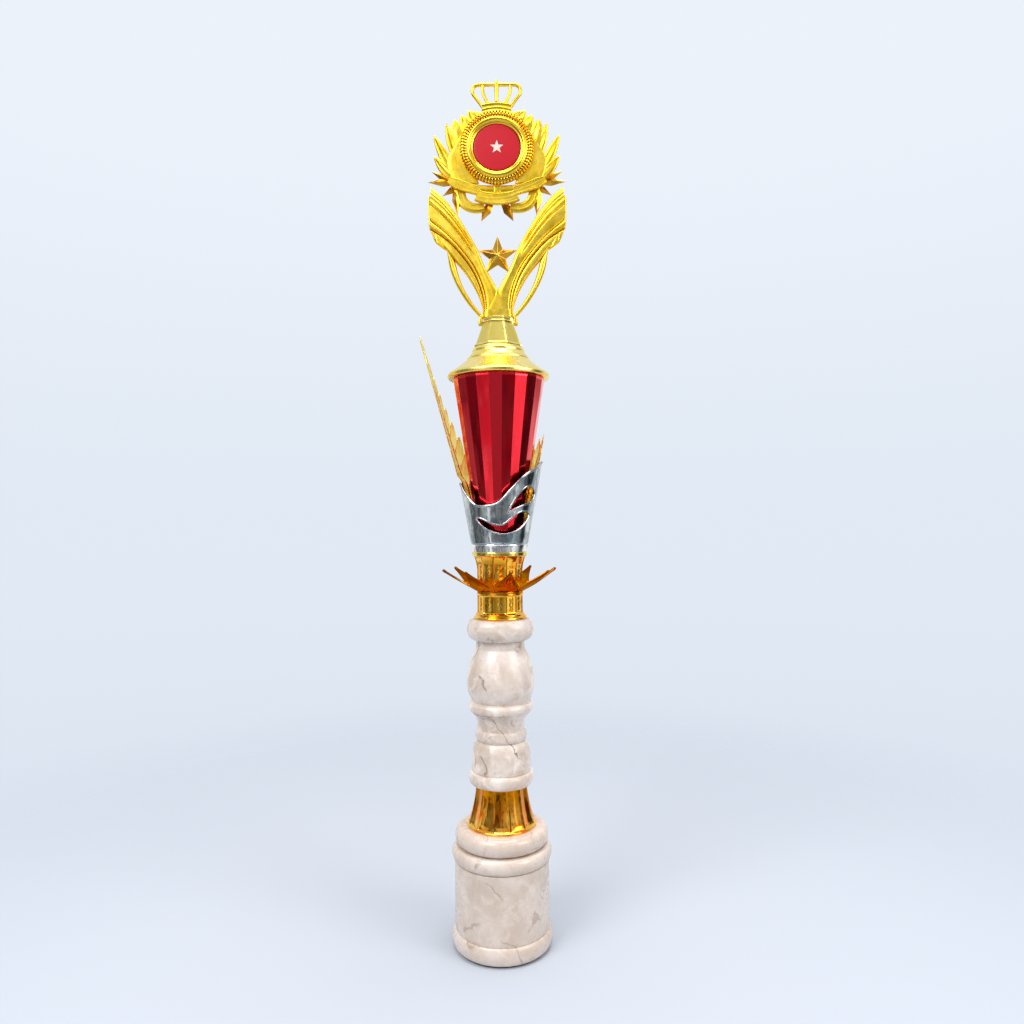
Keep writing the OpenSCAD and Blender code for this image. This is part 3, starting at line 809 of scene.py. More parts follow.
class TROPHY_OT_collars(bpy.types.Operator):
    """Bell spacer and the two plated collars, in flat panels with ribs between them"""

    bl_idname = "trophy.collars"
    bl_label = "Bell and Collars"

    def execute(self, context):
        sides = sizes().collar_sides
        gold = colours().orange_gold
        fine = np.concatenate([np.linspace(-1, -0.8, 6), np.linspace(-0.7, 0.7, 13),
                               np.linspace(0.8, 0.965, 5)])
        angles = panel_angles(sides, across=fine)
        half = pi / sides
        foot, top = span("bell_spacer")
        outer = np.vstack([
            [[23.4, foot], [27.1, foot], [27.1, foot + 1.5], [25.8, foot + 2.3]],
            bezier([25.5, foot + 2.6], [22.9, foot + 10], [20.4, top - 12], [19.6, top - 0.2], 20),
            [[19.4, top], [ROD_HOLE_R, top], [ROD_HOLE_R, top - 2.4]],
            bezier([17.4, top - 2.4], [18.2, top - 12], [20.6, foot + 8], [23.4, foot], 8)])
        flats = panels(sides, rib=0.45, rib_width=0.75)

        def bell(r, z, a):
            t = (np.mod(a + half, 2 * half) - half) / half
            shown = step(z - foot, 2.2 + 3.2 * t ** 2, 5.0 + 3.2 * t ** 2) * (r > 19)
            hollow = 0.55 * shown * np.cos(t * pi / 2) ** 2
            return np.where(z < foot + 2.45, r * cos(half * 0.6), flats(r, z, a) - hollow)
        outer = softened(outer, 0.35, 1.6)
        # painted reflection and shade: the strongly deepened clouds mix random plating tone with
        # painted dark brown reflections, and the upper part is painted darker brown as shade
        piece("bell", [lathe(outer, angles=angles, rule=bell)],
              plating("bell_plating", gold, 0.08, 0.40, 9, 3.2,
                      rim=(tinted(gold, 2.2, 0.75), foot + 18, 8)), "stand",
              "bell_spacer", sharp=60)

        foot, top = span("lower_collar")
        flats = panels(sides, rib=0.30, rib_width=0.5)
        relief = ornament(sides, foot + 6.5, top - 2.6, 0.40)

        def lower(r, z, a):
            ring = (z < foot + 5.0) | (z > top - 1.7)
            plain = r * cos(half * 0.5)
            return np.where(ring, plain, flats(r, z, a) + relief(r, z, a) * (r > 16))
        outline = [[ROD_HOLE_R, foot], [20.4, foot], [21, foot + 0.8], [20.6, foot + 2],
                   [19.2, foot + 2.6], [19.4, foot + 3.8], [18.0, foot + 5.1], [17.7, foot + 5.6],
                   [17.7, top - 1.9], [18.3, top - 1.5], [18.3, top - 0.2], [18, top],
                   [ROD_HOLE_R, top], [ROD_HOLE_R, foot]]
        outline = softened(outline, 0.4, 0.8)
        piece("collar_lower", [lathe(outline, angles=angles, rule=lower)],
              plating("collar_plating", gold, 0.10, 0.16, 5, 1.7), "stand",
              "lower_collar", sharp=60)

        foot, top = span("upper_collar")
        height = top - foot
        relief = ornament(sides, foot + 9.5, foot + 20.5, 0.40)

        def upper(r, z, a):
            plain = r * cos(half * 0.5)
            return np.where(z > top - 3.3, plain, flats(r, z, a) + relief(r, z, a) * (r > 16))
        outline = np.vstack([
            [[ROD_HOLE_R, foot], [17.7, foot], [17.7, foot + height * 0.5]],
            bezier([17.7, foot + height * 0.5], [17.9, foot + height * 0.68],
                   [19.5, foot + height * 0.85], [20.5, top - 3.5], 8),
            [[21.9, top - 3.1], [21.9, top - 0.5], [21.4, top], [ROD_HOLE_R, top],
             [ROD_HOLE_R, foot]]])
        outline = softened(outline, 0.35, 0.8)
        rim = (colours().pale_gold, top - 3.6, 0.8)
        piece("collar_upper", [lathe(outline, angles=angles, rule=upper)],
              plating("collar_rim_plating", gold, 0.10, 0.20, 6, 1.6, rim=rim), "stand",
              "upper_collar", sharp=60)
        return {"FINISHED"}


class TROPHY_OT_petals(bpy.types.Operator):
    """Ring of pointed petals round a hub, each with a raised rim, a shallow fold and a knob"""

    bl_idname = "trophy.petals"
    bl_label = "Petal Ring"

    def execute(self, context):
        count = sizes().petal_count
        foot = foot_of("petal_ring")
        rise, root_r, tip_r = radians(29), 15.6, 44.4
        reach = (tip_r - root_r) / cos(rise)
        pitch = tan(pi / count)
        low = [[0, root_r * pitch], [reach * 0.3, (root_r + reach * 0.3 * cos(rise)) * pitch - 0.4]]
        ogee = bezier([reach * 0.4, 9.6], [reach * 0.55, 6.4], [reach * 0.75, 3.4], [reach, 0.6],
                      20)
        side = evenly(rounded(np.vstack([low, ogee]), 2.0), 44)
        near_edge = np.linspace(0.84, 1, 5)
        u = np.concatenate([-near_edge[::-1], np.linspace(-0.7, 0.7, 11), near_edge])
        along, half = side[:, :1], side[:, 1:]
        beside = half * (1 - np.abs(u))
        across = half * u + 0 * along
        rim = 0.35 * np.exp(-(beside / 0.8) ** 2) + 0.22 * np.exp(-(across / 0.7) ** 2)
        fold = 0.035 * np.abs(across) * (1 - along / reach)
        lift = fold + 0.9 * (along / reach) ** 3
        thick = (0.75 + rim) * (1 - np.abs(u) ** 8) ** 0.5

        def placed(height):
            out = root_r + along * cos(rise) - height * np.sin(rise)
            up = along * np.sin(rise) + height * cos(rise)
            return np.stack([out + 0 * u, across, foot + 0.85 + up], axis=-1)
        top_face, under = placed(lift + thick), placed(lift - thick * 0.85)
        rows = capped(np.concatenate([top_face, under[:, ::-1]], axis=1))
        knob = np.array([root_r + (reach - 0.6) * cos(rise), 0, foot + 1.7 + reach * np.sin(rise)])
        t = np.linspace(-1, 1, 9)
        ball = tube(knob + np.outer(t, [1.0, 0, 0.55]),
                    1.05 * np.sqrt(np.clip(1 - t ** 2, 0.02, 1)), [0, 0, 1])
        parts = []
        for k in range(count):
            a = radians(sizes().petal_turn - 90) + 2 * pi * k / count
            turn = np.array([[cos(a), np.sin(a), 0], [-np.sin(a), cos(a), 0], [0, 0, 1]])
            parts += [grid(rows @ turn), (ball[0] @ turn, ball[1])]
        hub = rounded([[ROD_HOLE_R, foot], [17.6, foot], [17.8, foot + 0.7], [17.6, foot + 1.5],
                       [ROD_HOLE_R, foot + 1.5], [ROD_HOLE_R, foot]], 0.3)
        parts.append(lathe(hub, 96))
        brown = tinted(colours().orange_gold, 1.3, 0.78)
        finish = plating("petal_plating", brown, 0.16, 0.20, 7, 2.2, 0.7, tips=(22, 38), edge=brown)
        piece("petals", parts, finish, "stand", "petal_ring", sharp=50)
        return {"FINISHED"}


def sleeve_r(h):
    return SLEEVE_FOOT_R + SLEEVE_SLOPE * h


def wave_at(degrees):
    """Height of the sleeve's edge over its foot: a closed Catmull-Rom curve through SLEEVE_WAVE"""
    wave = np.asarray(SLEEVE_WAVE)
    s = np.mod(degrees, 360) * len(wave) / 360
    i = np.floor(s).astype(int)
    a, b, c, d = (wave[(i + k) % len(wave)] for k in (-1, 0, 1, 2))
    return between(a, b, c, d, s - i)


def opening_edges():
    """The sleeve's two kinds of opening as (top edge, bottom edge), each rows of [angle, height]"""
    leaf_top = np.vstack([bezier([13.5, 29], [24, 40], [38, 51], [52, 50], 24),
                          [[63, 47.5], [71, 44]]])
    leaf_low = np.vstack([bezier([13.5, 29], [24, 32], [40, 36], [56, 36.5], 24),
                          [[66, 39.5], [71, 44]]])
    moon_top = np.vstack([bezier([-43, 25.5], [-34, 28.5], [-18, 21], [0, 20.5], 24),
                          bezier([6, 20.8], [20, 24], [30, 31.5], [46, 31], 24),
                          [[55, 30.5], [62, 28.5]]])
    moon_low = np.vstack([bezier([-43, 25.5], [-30, 16], [-4, 13.6], [10, 13.6], 24),
                          bezier([14, 13.6], [32, 14.5], [50, 19], [61, 27], 24), [[62, 28.5]]])
    return (leaf_top, leaf_low), (moon_top, moon_low)


def sleeve_levels(degrees):
    """Heights at the angles of the crescents' bottom and top, the leaf's bottom and top, and the
    sleeve's edge. Outside an opening its bottom and top are one level, which eases from one
    opening's corner to the next."""
    leaf_edges, moon_edges = opening_edges()

    def gap(edges, turn, low_else, top_else):
        at = np.mod(degrees - turn + 180, 360) - 180
        here = (at > edges[0][0, 0]) & (at < edges[0][-1, 0])
        top, low = (np.interp(at, *edge.T) for edge in edges)
        return np.where(here, low, low_else), np.where(here, top, top_else)
    calm = np.interp(np.mod(degrees, 360), [62, 137, 242, 317], [28.5, 25.5, 28.5, 25.5])
    moon_low, moon_top = gap(moon_edges, 0, *gap(moon_edges, 180, calm, calm))
    wave = wave_at(degrees)
    signed = np.mod(degrees + 180, 360) - 180
    middle = (moon_top + wave) / 2
    ease = np.where(signed < 13.5, step(signed, -20, 13.5), 1 - step(signed, 71, 100))
    calm = middle + ease * (np.where(signed < 42, 29.0, 44.0) - middle)
    return (moon_low, moon_top, *gap(leaf_edges, 0, calm, calm), wave)


class TROPHY_OT_sleeve(bpy.types.Operator):
    """Chromed sleeve: a cone with a wavy edge, a leaf-shaped and two crescent openings, and a
    bright bead round every edge"""

    bl_idname = "trophy.sleeve"
    bl_label = "Cup Sleeve"

    def execute(self, context):
        foot = foot_of("cup_sleeve")
        wall = sizes().sleeve_wall
        degrees = np.arange(0, 360.5, 0.75)
        a = np.radians(degrees)
        moon_low, moon_top, leaf_low, leaf_top, wave = sleeve_levels(degrees)

        def stretch(low, high, rows):
            t = np.linspace(0, 1, rows)[:, None]
            return low[None] + t * (high - low)[None]
        # rows lie close together where the foot band ends in a line
        foot_rows = np.array([0, 2.5, 5, 5.2, 5.4, 5.6, 5.8, 6.0, 6.2, 6.5])[:, None] + 0 * wave
        heights = [np.vstack([foot_rows, stretch(7 + 0 * wave, moon_low, 9)]),
                   stretch(moon_top, leaf_low, 9), stretch(leaf_top, wave, 9)]

        def shell(h, inset=0.0, band=0.0):
            """The wall's points at the heights; band raises the foot band and sinks a line above"""
            raised = (1 - step(h, 5.2, 5.8)) - 0.64 * np.exp(-((h - 5.9) / 0.5) ** 2)
            r = sleeve_r(h) + band * raised - inset
            return np.stack([r * np.sin(a), -r * np.cos(a), foot + h], axis=-1)
        parts = []
        for h in heights:
            outside, inside = shell(h, band=0.55), shell(h, inset=wall)
            loop = np.concatenate([outside, inside[::-1], outside[:1]])
            parts.append(grid(loop))
        floor = rounded([[ROD_HOLE_R, foot], [sleeve_r(0) - wall / 2, foot],
                         [sleeve_r(2) - wall / 2, foot + 2], [ROD_HOLE_R, foot + 2],
                         [ROD_HOLE_R, foot]], 0.2)
        parts.append(lathe(floor, 96))

        def edge_bead(angle_height, radius):
            angle, h = np.radians(angle_height[:, 0]), angle_height[:, 1]
            r = sleeve_r(h) - wall / 2 + 0.12
            out = np.column_stack([np.sin(angle), -np.cos(angle), 0 * h])
            path = np.column_stack([r * out[:, 0], r * out[:, 1], foot + h])
            return tube(path, radius, out, 12)
        whole = np.arange(0, 361, 1.5)
        parts.append(edge_bead(np.column_stack([whole, wave_at(whole)]), 0.95))
        leaf_edges, moon_edges = opening_edges()
        for edges, turn in ((leaf_edges, 0), (moon_edges, 0), (moon_edges, 180)):
            loop = np.vstack([edges[1], edges[0][::-1]])
            loop = evenly(loop * [0.5, 1], 120) * [2, 1]
            parts.append(edge_bead(loop + [turn, 0], 0.80))
        silver = colours().silver
        # painted highlight: the raised foot band below 5.8 mm is painted a paler silver
        finish = plating("sleeve_chrome", silver, 0.11, 0.34, 8, 3.2,
                         rim=(tinted(silver, 0.35), foot + 5.8, -0.4))
        piece("sleeve", parts, finish, "stand", "cup_sleeve", sharp=45)
        return {"FINISHED"}


class TROPHY_OT_cup(bpy.types.Operator):
    """Red cup: a shell in flat facets, open at the top, with a slight swim in each facet"""

    bl_idname = "trophy.cup"
    bl_label = "Cup"

    def execute(self, context):
        foot, top = span("cup")
        height, floor_r, top_r = top - foot, 15.3, 35.8
        wall, facets = sizes().cup_wall, sizes().cup_facets
        turn = radians(sizes().cup_turn) + pi / facets
        flats = panels(facets, turn)

        def radius(z):
            return floor_r + (top_r - floor_r) * (z - foot) / height
        z = np.linspace(foot + 0.4, top - 0.5, 60)
        outside = np.column_stack([radius(z), z])
        inside = np.column_stack([radius(z) - wall, np.maximum(z, foot + 2.0)])[::-1]
        profile = np.vstack([[[ROD_HOLE_R, foot], [floor_r - 0.6, foot]], outside,
                             [[top_r - 0.4, top], [top_r - wall + 0.4, top]], inside,
                             [[ROD_HOLE_R, foot + 2], [ROD_HOLE_R, foot]]])

        def rule(r, z, a):
            facet = np.floor((a - turn) / (2 * pi / facets) + 0.5) % facets
            mid = np.abs(np.mod((a - turn) / (2 * pi / facets) + 0.5, 1) - 0.5)
            swim = np.sin(z / 13 + 2.4 * facet) + 0.7 * np.sin(z / 6.5 + 5.1 * facet + 1)
            inside = step(z, foot + 4, foot + 20) * (1 - step(z, top - 12, top - 3))
            dent = 0.05 * (1 + swim * np.cos(pi * mid) ** 2 * inside)
            return np.where(r > floor_r - 1, flats(r, z, a) - dent, r)
        angles = panel_angles(facets, turn, (-1, -0.965, -0.75, -0.35, 0, 0.35, 0.75, 0.965))
        piece("red_cup", [lathe(profile, angles=angles, rule=rule)], red_mirror_finish(), "stand",
              "cup", sharp=60)
        return {"FINISHED"}


def wrapped(flat, height, radius_at, side, thick):
    """Flat points drawn as seen from outside, laid on an upright cone at the given side: at height
    z the cone's radius less half the thickness is carried round by arcsin(u / r)"""
    u, z = flat[..., 0], flat[..., 1]
    r = radius_at(z) - thick / 2 + height
    return np.stack([side * np.sqrt(np.maximum(r ** 2 - u ** 2, 0.01)), side * u, z], axis=-1)


def spray(stem, leaves, radius_at, side):
    """Laurel spray on a cone: a round stem along the drawn path and leaves with midrib and veins"""
    thick, sink = 1.4, 0.25
    parts = []
    path = evenly(stem, 60)
    normal = sideways(np.gradient(path, axis=0))
    width = np.linspace(2.1, 0.7, len(path))[:, None]
    a = np.linspace(0, 2 * pi, 13)[None, :]
    flat = path[:, None] + (normal * width)[:, None] * np.cos(a)[..., None]
    parts.append(grid(capped(wrapped(flat, 0.95 * np.sin(a) - sink, radius_at, side, thick))))
    for root, tip, leaf_width, bend in leaves:
        flat, s, u = leaf_plan(root, tip, leaf_width, bend)
        face = leaf_relief(s, u, 0.72, 0.22, 0.10, 5)
        outer = wrapped(flat, face - sink, radius_at, side, thick)
        inner = wrapped(flat, -face - sink, radius_at, side, thick)
        parts.append(grid(np.concatenate([outer, inner[:, ::-1]], axis=1)))
    return parts


class TROPHY_OT_laurels(bpy.types.Operator):
    """Tall and short laurel sprays that stand between the cup and the sleeve"""

    bl_idname = "trophy.laurels"
    bl_label = "Laurel Sprays"

    def execute(self, context):
        foot = foot_of("cup_sleeve")
        z0 = foot + 2.6
        finish = plating("laurel_plating", colours().leaf_gold, 0.30, 0.05, 6, 1.5, crevice_shade=0.3)

        tip_z, out_z = foot + 168, foot + 54
        under_r, over_r = 29.8, 33.2

        def tall_shell(z):
            """Radius of the cone the tall spray lies on: it steps out over the sleeve's edge"""
            low = sleeve_r(3) - 1.4 + (z - z0) * (sleeve_r(54) - sleeve_r(3)) / (out_z - z0)
            bend = low.clip(max=under_r) + (over_r - under_r) * (z - out_z) / 5
            high = over_r + 0.266 * (z - out_z - 5)
            return np.where(z < out_z, low, np.where(z < out_z + 5, bend, high))
        stem = bezier([-13, z0], [-15, z0 + 60], [-6, z0 + 100], [-0.4, tip_z - 8], 12)
        leaves = [(stem[10], [1, tip_z - 0.5], 6, 0)]
        for i in range(3, 11):
            root = stem[i] - [0, 3]
            leaves.append((root, [2, stem[i][1] + 27 - i], 10.5, -0.8))
            leaves.append((root, stem[i] + [-24 + 2 * i, 27 - i], 13 - 0.6 * i, 1.0))
        piece("spray_tall", spray(stem, leaves, tall_shell, -1), finish, "stand",
              "laurel_left", sharp=50)

        tip_z = foot + 91

        def short_shell(z):
            """Radius of the cone the short spray lies on"""
            return 19.2 + (0.21 * (tip_z - z0) - 1.6) * (z - z0) / (tip_z - z0)
        stem = bezier([14, z0], [15, z0 + 30], [13, z0 + 54], [5, tip_z - 8], 8)
        leaves = [(stem[6] - [0, 6], [1, tip_z - 0.5], 12, 0),
                  (stem[6] - [0, 10], [13, tip_z - 2.5], 12, 0),
                  (stem[5] - [0, 4], [21, tip_z - 7], 13, -1.0)]
        for i in range(2, 7):
            root = stem[i] - [0, 3]
            leaves.append((root, [-1, stem[i][1] + 22 - i], 10.5, 0.8))
            leaves.append((root, stem[i] + [19.5 - i, 23.5 - i], 14, -1.0))
        piece("spray_short", spray(stem, leaves, short_shell, 1), finish, "stand",
              "laurel_right", sharp=50)
        return {"FINISHED"}


# ---------------------------------------------------------------- operators: the lid

class TROPHY_OT_lid(bpy.types.Operator):
    """Pale gold lid with a plug that enters the cup, and the eight-sided neck on top of it"""

    bl_idname = "trophy.lid"
    bl_label = "Lid and Neck"

    def execute(self, context):
        low, top = span("lid")
        seat = low + 6.5
        plug_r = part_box("lid")[0].x / -MM - 7.0
        bore = STUD_HOLE_R
        gold = colours().pale_gold
        outline = np.vstack([
            [[plug_r, seat], [38.9, seat], [39.6, seat + 0.6], [39.6, seat + 2.6],
             [39.0, seat + 3.4], [38.5, seat + 3.8]],
            bezier([37.4, seat + 4.4], [31, seat + 9], [27.8, seat + 11.6], [24.6, seat + 14.4],
                   16),
            [[24.6, seat + 15.6], [23.2, seat + 16.4]],
            bezier([23, seat + 17], [22, seat + 18.6], [20.9, seat + 19.2], [20.6, seat + 20.2],
                   5),
            [[20.6, seat + 22], [19.6, seat + 22.8], [19.2, top], [bore, top], [bore, top - 2.4],
             [17.4, top - 2.4], [18.6, seat + 19]],
            bezier([20.6, seat + 16], [23, seat + 12.6], [28, seat + 9], [plug_r - 2, seat + 4], 8),
            [[plug_r - 2, low], [plug_r, low], [plug_r, seat]]])
        outline = softened(outline, 0.35, 1.5, 4)
        piece("lid_shell", [lathe(outline, 192)], plating("lid_plating", gold, 0.25, 0.06, 16, 1.2),
              "lid", "lid", sharp=60)

        foot, top = span("neck")
        flare = 1 / cos(pi / 8)
        outer = np.vstack([
            [[15.2, foot], [17.9, foot], [17.9, foot + 1.2], [17.2, foot + 1.9]],
            bezier([16.6, foot + 2.4], [15.2, foot + 7.2], [13.1, foot + 13], [11.5, top - 4.6],
                   14),
            [[11.9, top - 4.2], [11.9, top - 3.2], [10.9, top - 2.8], [10.9, top], [bore, top],
             [bore, top - 2.4]]])
        inner = np.vstack([
            [[9, top - 2.4]],
            bezier([9.4, top - 6], [11.4, foot + 12], [13.4, foot + 7], [15, foot + 0.4], 8),
            [[15.2, foot]]])
        outer = outer * [flare, 1]
        outer[outer[:, 0] < bore * flare + 0.01, 0] = bore
        outline = softened(np.vstack([outer, inner]), 0.3, 1.2)
        flats = panels(8, rib=0.22, rib_width=0.6, dish=0.25)

        def rule(r, z, a):
            return np.where(r > 11.2, flats(r, z, a), r)
        across = np.concatenate([[-1, -0.97, -0.93], np.linspace(-0.88, 0.88, 9), [0.93, 0.97]])
        piece("neck_shell", [lathe(outline, angles=panel_angles(8, across=across), rule=rule)],
              plating("neck_plating", gold, 0.15, 0.30, 6, 1.3), "lid", "neck",
              sharp=50)
        return {"FINISHED"}


# ---------------------------------------------------------------- operators: the figure

WING_INNER = ((0, 0), (0, 10), (0, 20.9), (9.7, 39.6), (15.8, 54.4), (24.2, 69.3), (31.9, 81.7),
              (41.8, 94.2), (51.3, 102.6))
GROOVE_ONE = ((9.4, 0), (9.3, 12.4), (11.5, 24.1), (17.6, 38.9), (26.8, 52.1), (38.2, 64.6),
              (49, 73.9), (53.4, 77.6))
GROOVE_TWO = ((10.9, 0.4), (10.9, 12.4), (14.7, 26.5), (20.7, 38.9), (29.9, 51.4), (39.8, 61.5),
              (52.4, 69.8))
WINDOW_EDGE = ((12.6, 0.4), (11.9, 5), (12.6, 10), (16.3, 20.1), (23.9, 33.4), (32, 43.5),
               (40.5, 54.4), (48.8, 60.6))


class TROPHY_OT_wings(bpy.types.Operator):
    """Winged frame: three swept bands and a strut on each side, over a foot with two lugs"""

    bl_idname = "trophy.wings"
    bl_label = "Wings"

    def execute(self, context):
        foot = foot_of("wing_frame") + 4.8
        lift = np.array([0, foot])
        half = sizes().wing_depth / 2

        def curve(points, count=72):
            return evenly(through(points, 14), count) + lift
        inner, one = curve(WING_INNER), curve(GROOVE_ONE)
        two, window = curve(GROOVE_TWO), curve(WINDOW_EDGE)

        def feathers(s, u):
            """Fine ridges that run up the outer part of the wing beside its inner edge"""
            shown = step(s, 0.42, 0.62)
            ridges = sum(high * np.exp(-((u - at) / wide) ** 2) for at, wide, high in (
                (-0.62, 0.07, 0.45), (-0.42, 0.06, 0.40), (-0.10, 0.05, 0.55), (0.06, 0.05, 0.50)))
            valleys = sum(np.exp(-((u - at) / 0.05) ** 2) for at in (-0.52, -0.30, -0.02, 0.14))
            spine = 0.35 * np.exp(-((u + 0.25 + 0.25 * s) / 0.35) ** 2) * step(s, 0.05, 0.3)
            return shown * (ridges - 0.38 * valleys) + spine * (1 - shown * 0.6)
        s = np.linspace(0, 1, len(inner))
        thin = half - 0.55
        parts = [slab(inner, one, thin - 0.5 * step(s, 0.6, 1), columns=61, power=5,
                      relief=feathers)]
        parts.append(slab(one + [0.1, 0], two, half * (1 - 0.12 * step(s, 0.7, 1)), columns=13,
                          power=2.6))
        parts.append(slab(two, window, half - 0.9 - 0.6 * step(s, 0.7, 1), columns=17, power=3.5))
        outer_strut = curve(((12.4, 0.3), (13.9, 0.9), (20.8, 8.4), (27, 17), (33.1, 27.9),
                             (37.3, 39.6), (39.4, 52.6)))
        inner_strut = curve(((11.9, 2.6), (14.4, 5.3), (20.8, 13.9), (27, 24.8), (30.9, 35.7),
                             (33.6, 45.5), (39.2, 53.6)))
        parts.append(slab(inner_strut, outer_strut, 3.3, columns=13, power=2.2))
        # the outer ends of the bands: a stepped edge under the panel, and the panel's upright rim
        step_edge = np.array([[48.8, 60.6], [49.2, 63.5], [49.3, 67.4]]) + lift
        parts.append(slab(np.array([[40.2, 54.2], [42.5, 58.5], [45.5, 62.5]]) + lift, step_edge,
                          half - 1.3, columns=11, power=4))
        rim = np.array([[52.3, 70.4], [53.0, 78], [53.2, 87], [53.2, 95.0]]) + lift
        parts.append(ribbon_band(evenly(rim, 20), 1.5, half - 1.2, columns=9, power=3))
        parts = both(parts)
        crotch = np.array([[-9.3, 0.2], [-8.8, 7], [-5.4, 13], [-2.2, 18], [-0.4, 22.6]]) + lift
        parts.append(slab(crotch, crotch * [-1, 1], half - 0.4, columns=21, power=6))
        base = np.array([[-10.6, 0], [-10.6, 1.2], [-10.2, 1.6], [-10.2, 5], [-9.6, 6]]) + lift
        parts.append(slab(base, base * [-1, 1], 6.5, columns=25, power=9))
        lug = np.array([[12.3, -4.8], [12.0, -3.0], [12.2, -1.2], [12.6, 0.9]]) + lift
        far = np.array([[15.3, -4.8], [15.3, -3.0], [14.9, -1.2], [14.4, 0.9]]) + lift
        arm = np.array([[9.5, 2.6], [13.6, 1.2]]) + lift
        parts += both([slab(evenly(lug, 12), evenly(far, 12), 4.0, columns=11, power=5),
                       ribbon_band(evenly(arm, 8), 2.6, 3.4, columns=9, power=3)])
        finish = figure_plating("wing_plating", 0.36, 9, 1.25, 0.4)
        piece("wings", parts, finish, "head", "wing_frame", sharp=60)
        return {"FINISHED"}


class TROPHY_OT_star(bpy.types.Operator):
    """Five-pointed star between the wings: ten sloping facets on each side and a narrow rim"""

    bl_idname = "trophy.star"
    bl_label = "Star"

    def execute(self, context):
        low, high = (np.array(v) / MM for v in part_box("star"))
        r = (high[0] - low[0]) / 2 / np.sin(radians(72))
        share = np.linspace(0, 1, 7)[:, None]
        _, x, z = star_plan(r, r * 0.42, share)
        x, z = x + (low[0] + high[0]) / 2, z + high[2] - r
        edge = 0.45

        def face(sign):
            return np.stack([x, sign * (edge + (4.5 - edge) * (1 - share)) + 0 * x, z], axis=-1)
        rows = np.concatenate([face(-1), face(1)[::-1]])
        finish = plating("star_plating", colours().bronze, 0.13, 0.02, 8, 1.7)
        piece("star_cast", [grid(rows)], finish, "head", "star", sharp=15,
              bevel=0.20)
        return {"FINISHED"}


def medal_centre():
    """Middle of the medal: on the bezel's own axis"""
    low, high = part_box("medal_bezel")
    return np.array([(low.x + high.x) / 2, 0, (low.z + high.z) / 2]) / MM


class TROPHY_OT_wreath(bpy.types.Operator):
    """Wreath: laurel leaves up both sides, broad leaves along the medal, and rays fanning out"""

    bl_idname = "trophy.wreath"
    bl_label = "Wreath and Rays"

    def execute(self, context):
        centre = medal_centre()
        at = centre[[0, 2]]
        laurels = (  # root, tip, width, bend, lift of the tip
            ((7, 20), (19.2, 29.6), 9.5, -0.5, 0.4), ((10, 15), (22.4, 30.2), 12, -0.8, 0.6),
            ((15, 8), (27.8, 26.4), 13.5, -1.0, 0.6), ((24, -10), (32.8, 23.4), 15, -1.8, 0.5),
            ((30, -9), (39.3, 20.3), 7.5, -0.9, 1.0), ((30, -24), (49.2, 11.0), 9, -0.6, 1.0),
            ((29, -27), (49.2, -5.6), 9, -0.8, 0.8))
        parts = [leaf(at + root, at + tip, width, 1.2 + width / 40, 0.0, lift, bend=bend)
                 for root, tip, width, bend, lift in laurels]

        def brushed(s, u):
            return 0.06 * np.sin(9 * pi * u + 2 * s)
        inner = through([[26, 10], [23.5, 0], [20.5, -10], [19, -16], [16, -22], [14, -27]])
        outer = through([[29, 10], [34.6, 0], [38, -6], [38.8, -11], [37.4, -18], [34.4, -26.6]])
        parts.append(slab(evenly(outer, 40) + at, evenly(inner, 40) + at, 1.7, y=-0.5, columns=25,
                          power=6, relief=brushed, back=1.5))
        rays = (((31, -28.4), (51.7, -16.5), 5.8, 2.3), ((30, -25.8), (54.4, -25.4), 6.6, 2.6),
                ((28, -27), (42.8, -36.4), 5.4, 2.2), ((32.4, -28), (30.8, -52), 7.2, 2.2),
                ((4.2, -40), (12.7, -56.4), 7.4, 2.8))
        lower = through([[29.6, -29], [28.9, -33.6], [27.8, -38.4], [25, -42.6], [20.6, -45.2],
                         [15.4, -46], [10.2, -45.4]])

        def relief(s, u):
            return 0.08 * np.cos(4 * pi * u) + 0.3 * (u < -0.2) * (1 + u)
        parts.append(ribbon_band(evenly(lower, 40) + at, np.linspace(8.8, 7.0, 40), 1.6, y=0.1,
                                 columns=21, power=5, relief=relief))
        bar = bezier([-1, -31], [14, -31], [28, -30], [37.6, -24.6], 20)
        parts.append(ribbon_band(bar + at, 5.2, 1.6, y=0.2, columns=9))
        post = np.array([[-2.9, -33.4], [-3.3, -30], [-2.7, -26]])
        parts.append(slab(post + at, post * [-1, 1] + at, 1.6, y=0.1))
        spikes = both([ray(at + root, at + tip, width, ridge, 0.0, 0.5)
                       for root, tip, width, ridge in rays])
        parts = both(parts)
        plate = [[14.5, -0.9], [27.2, -0.9], [27.5, 0.2], [27.2, 1.5], [14.5, 1.5], [14.5, -0.9]]
        parts.append(medallion(rounded(plate, 0.3), centre, 144))
        finish = [figure_plating("wreath_plating", 0.34, 6, 1.35, 0.5),
                  plating("ray_plating", colours().bronze, 0.20, 0.03, 6, 1.8)]
        piece("wreath_cast", parts, finish, "head", "wreath", sharp=34,
              second=spikes)
        return {"FINISHED"}


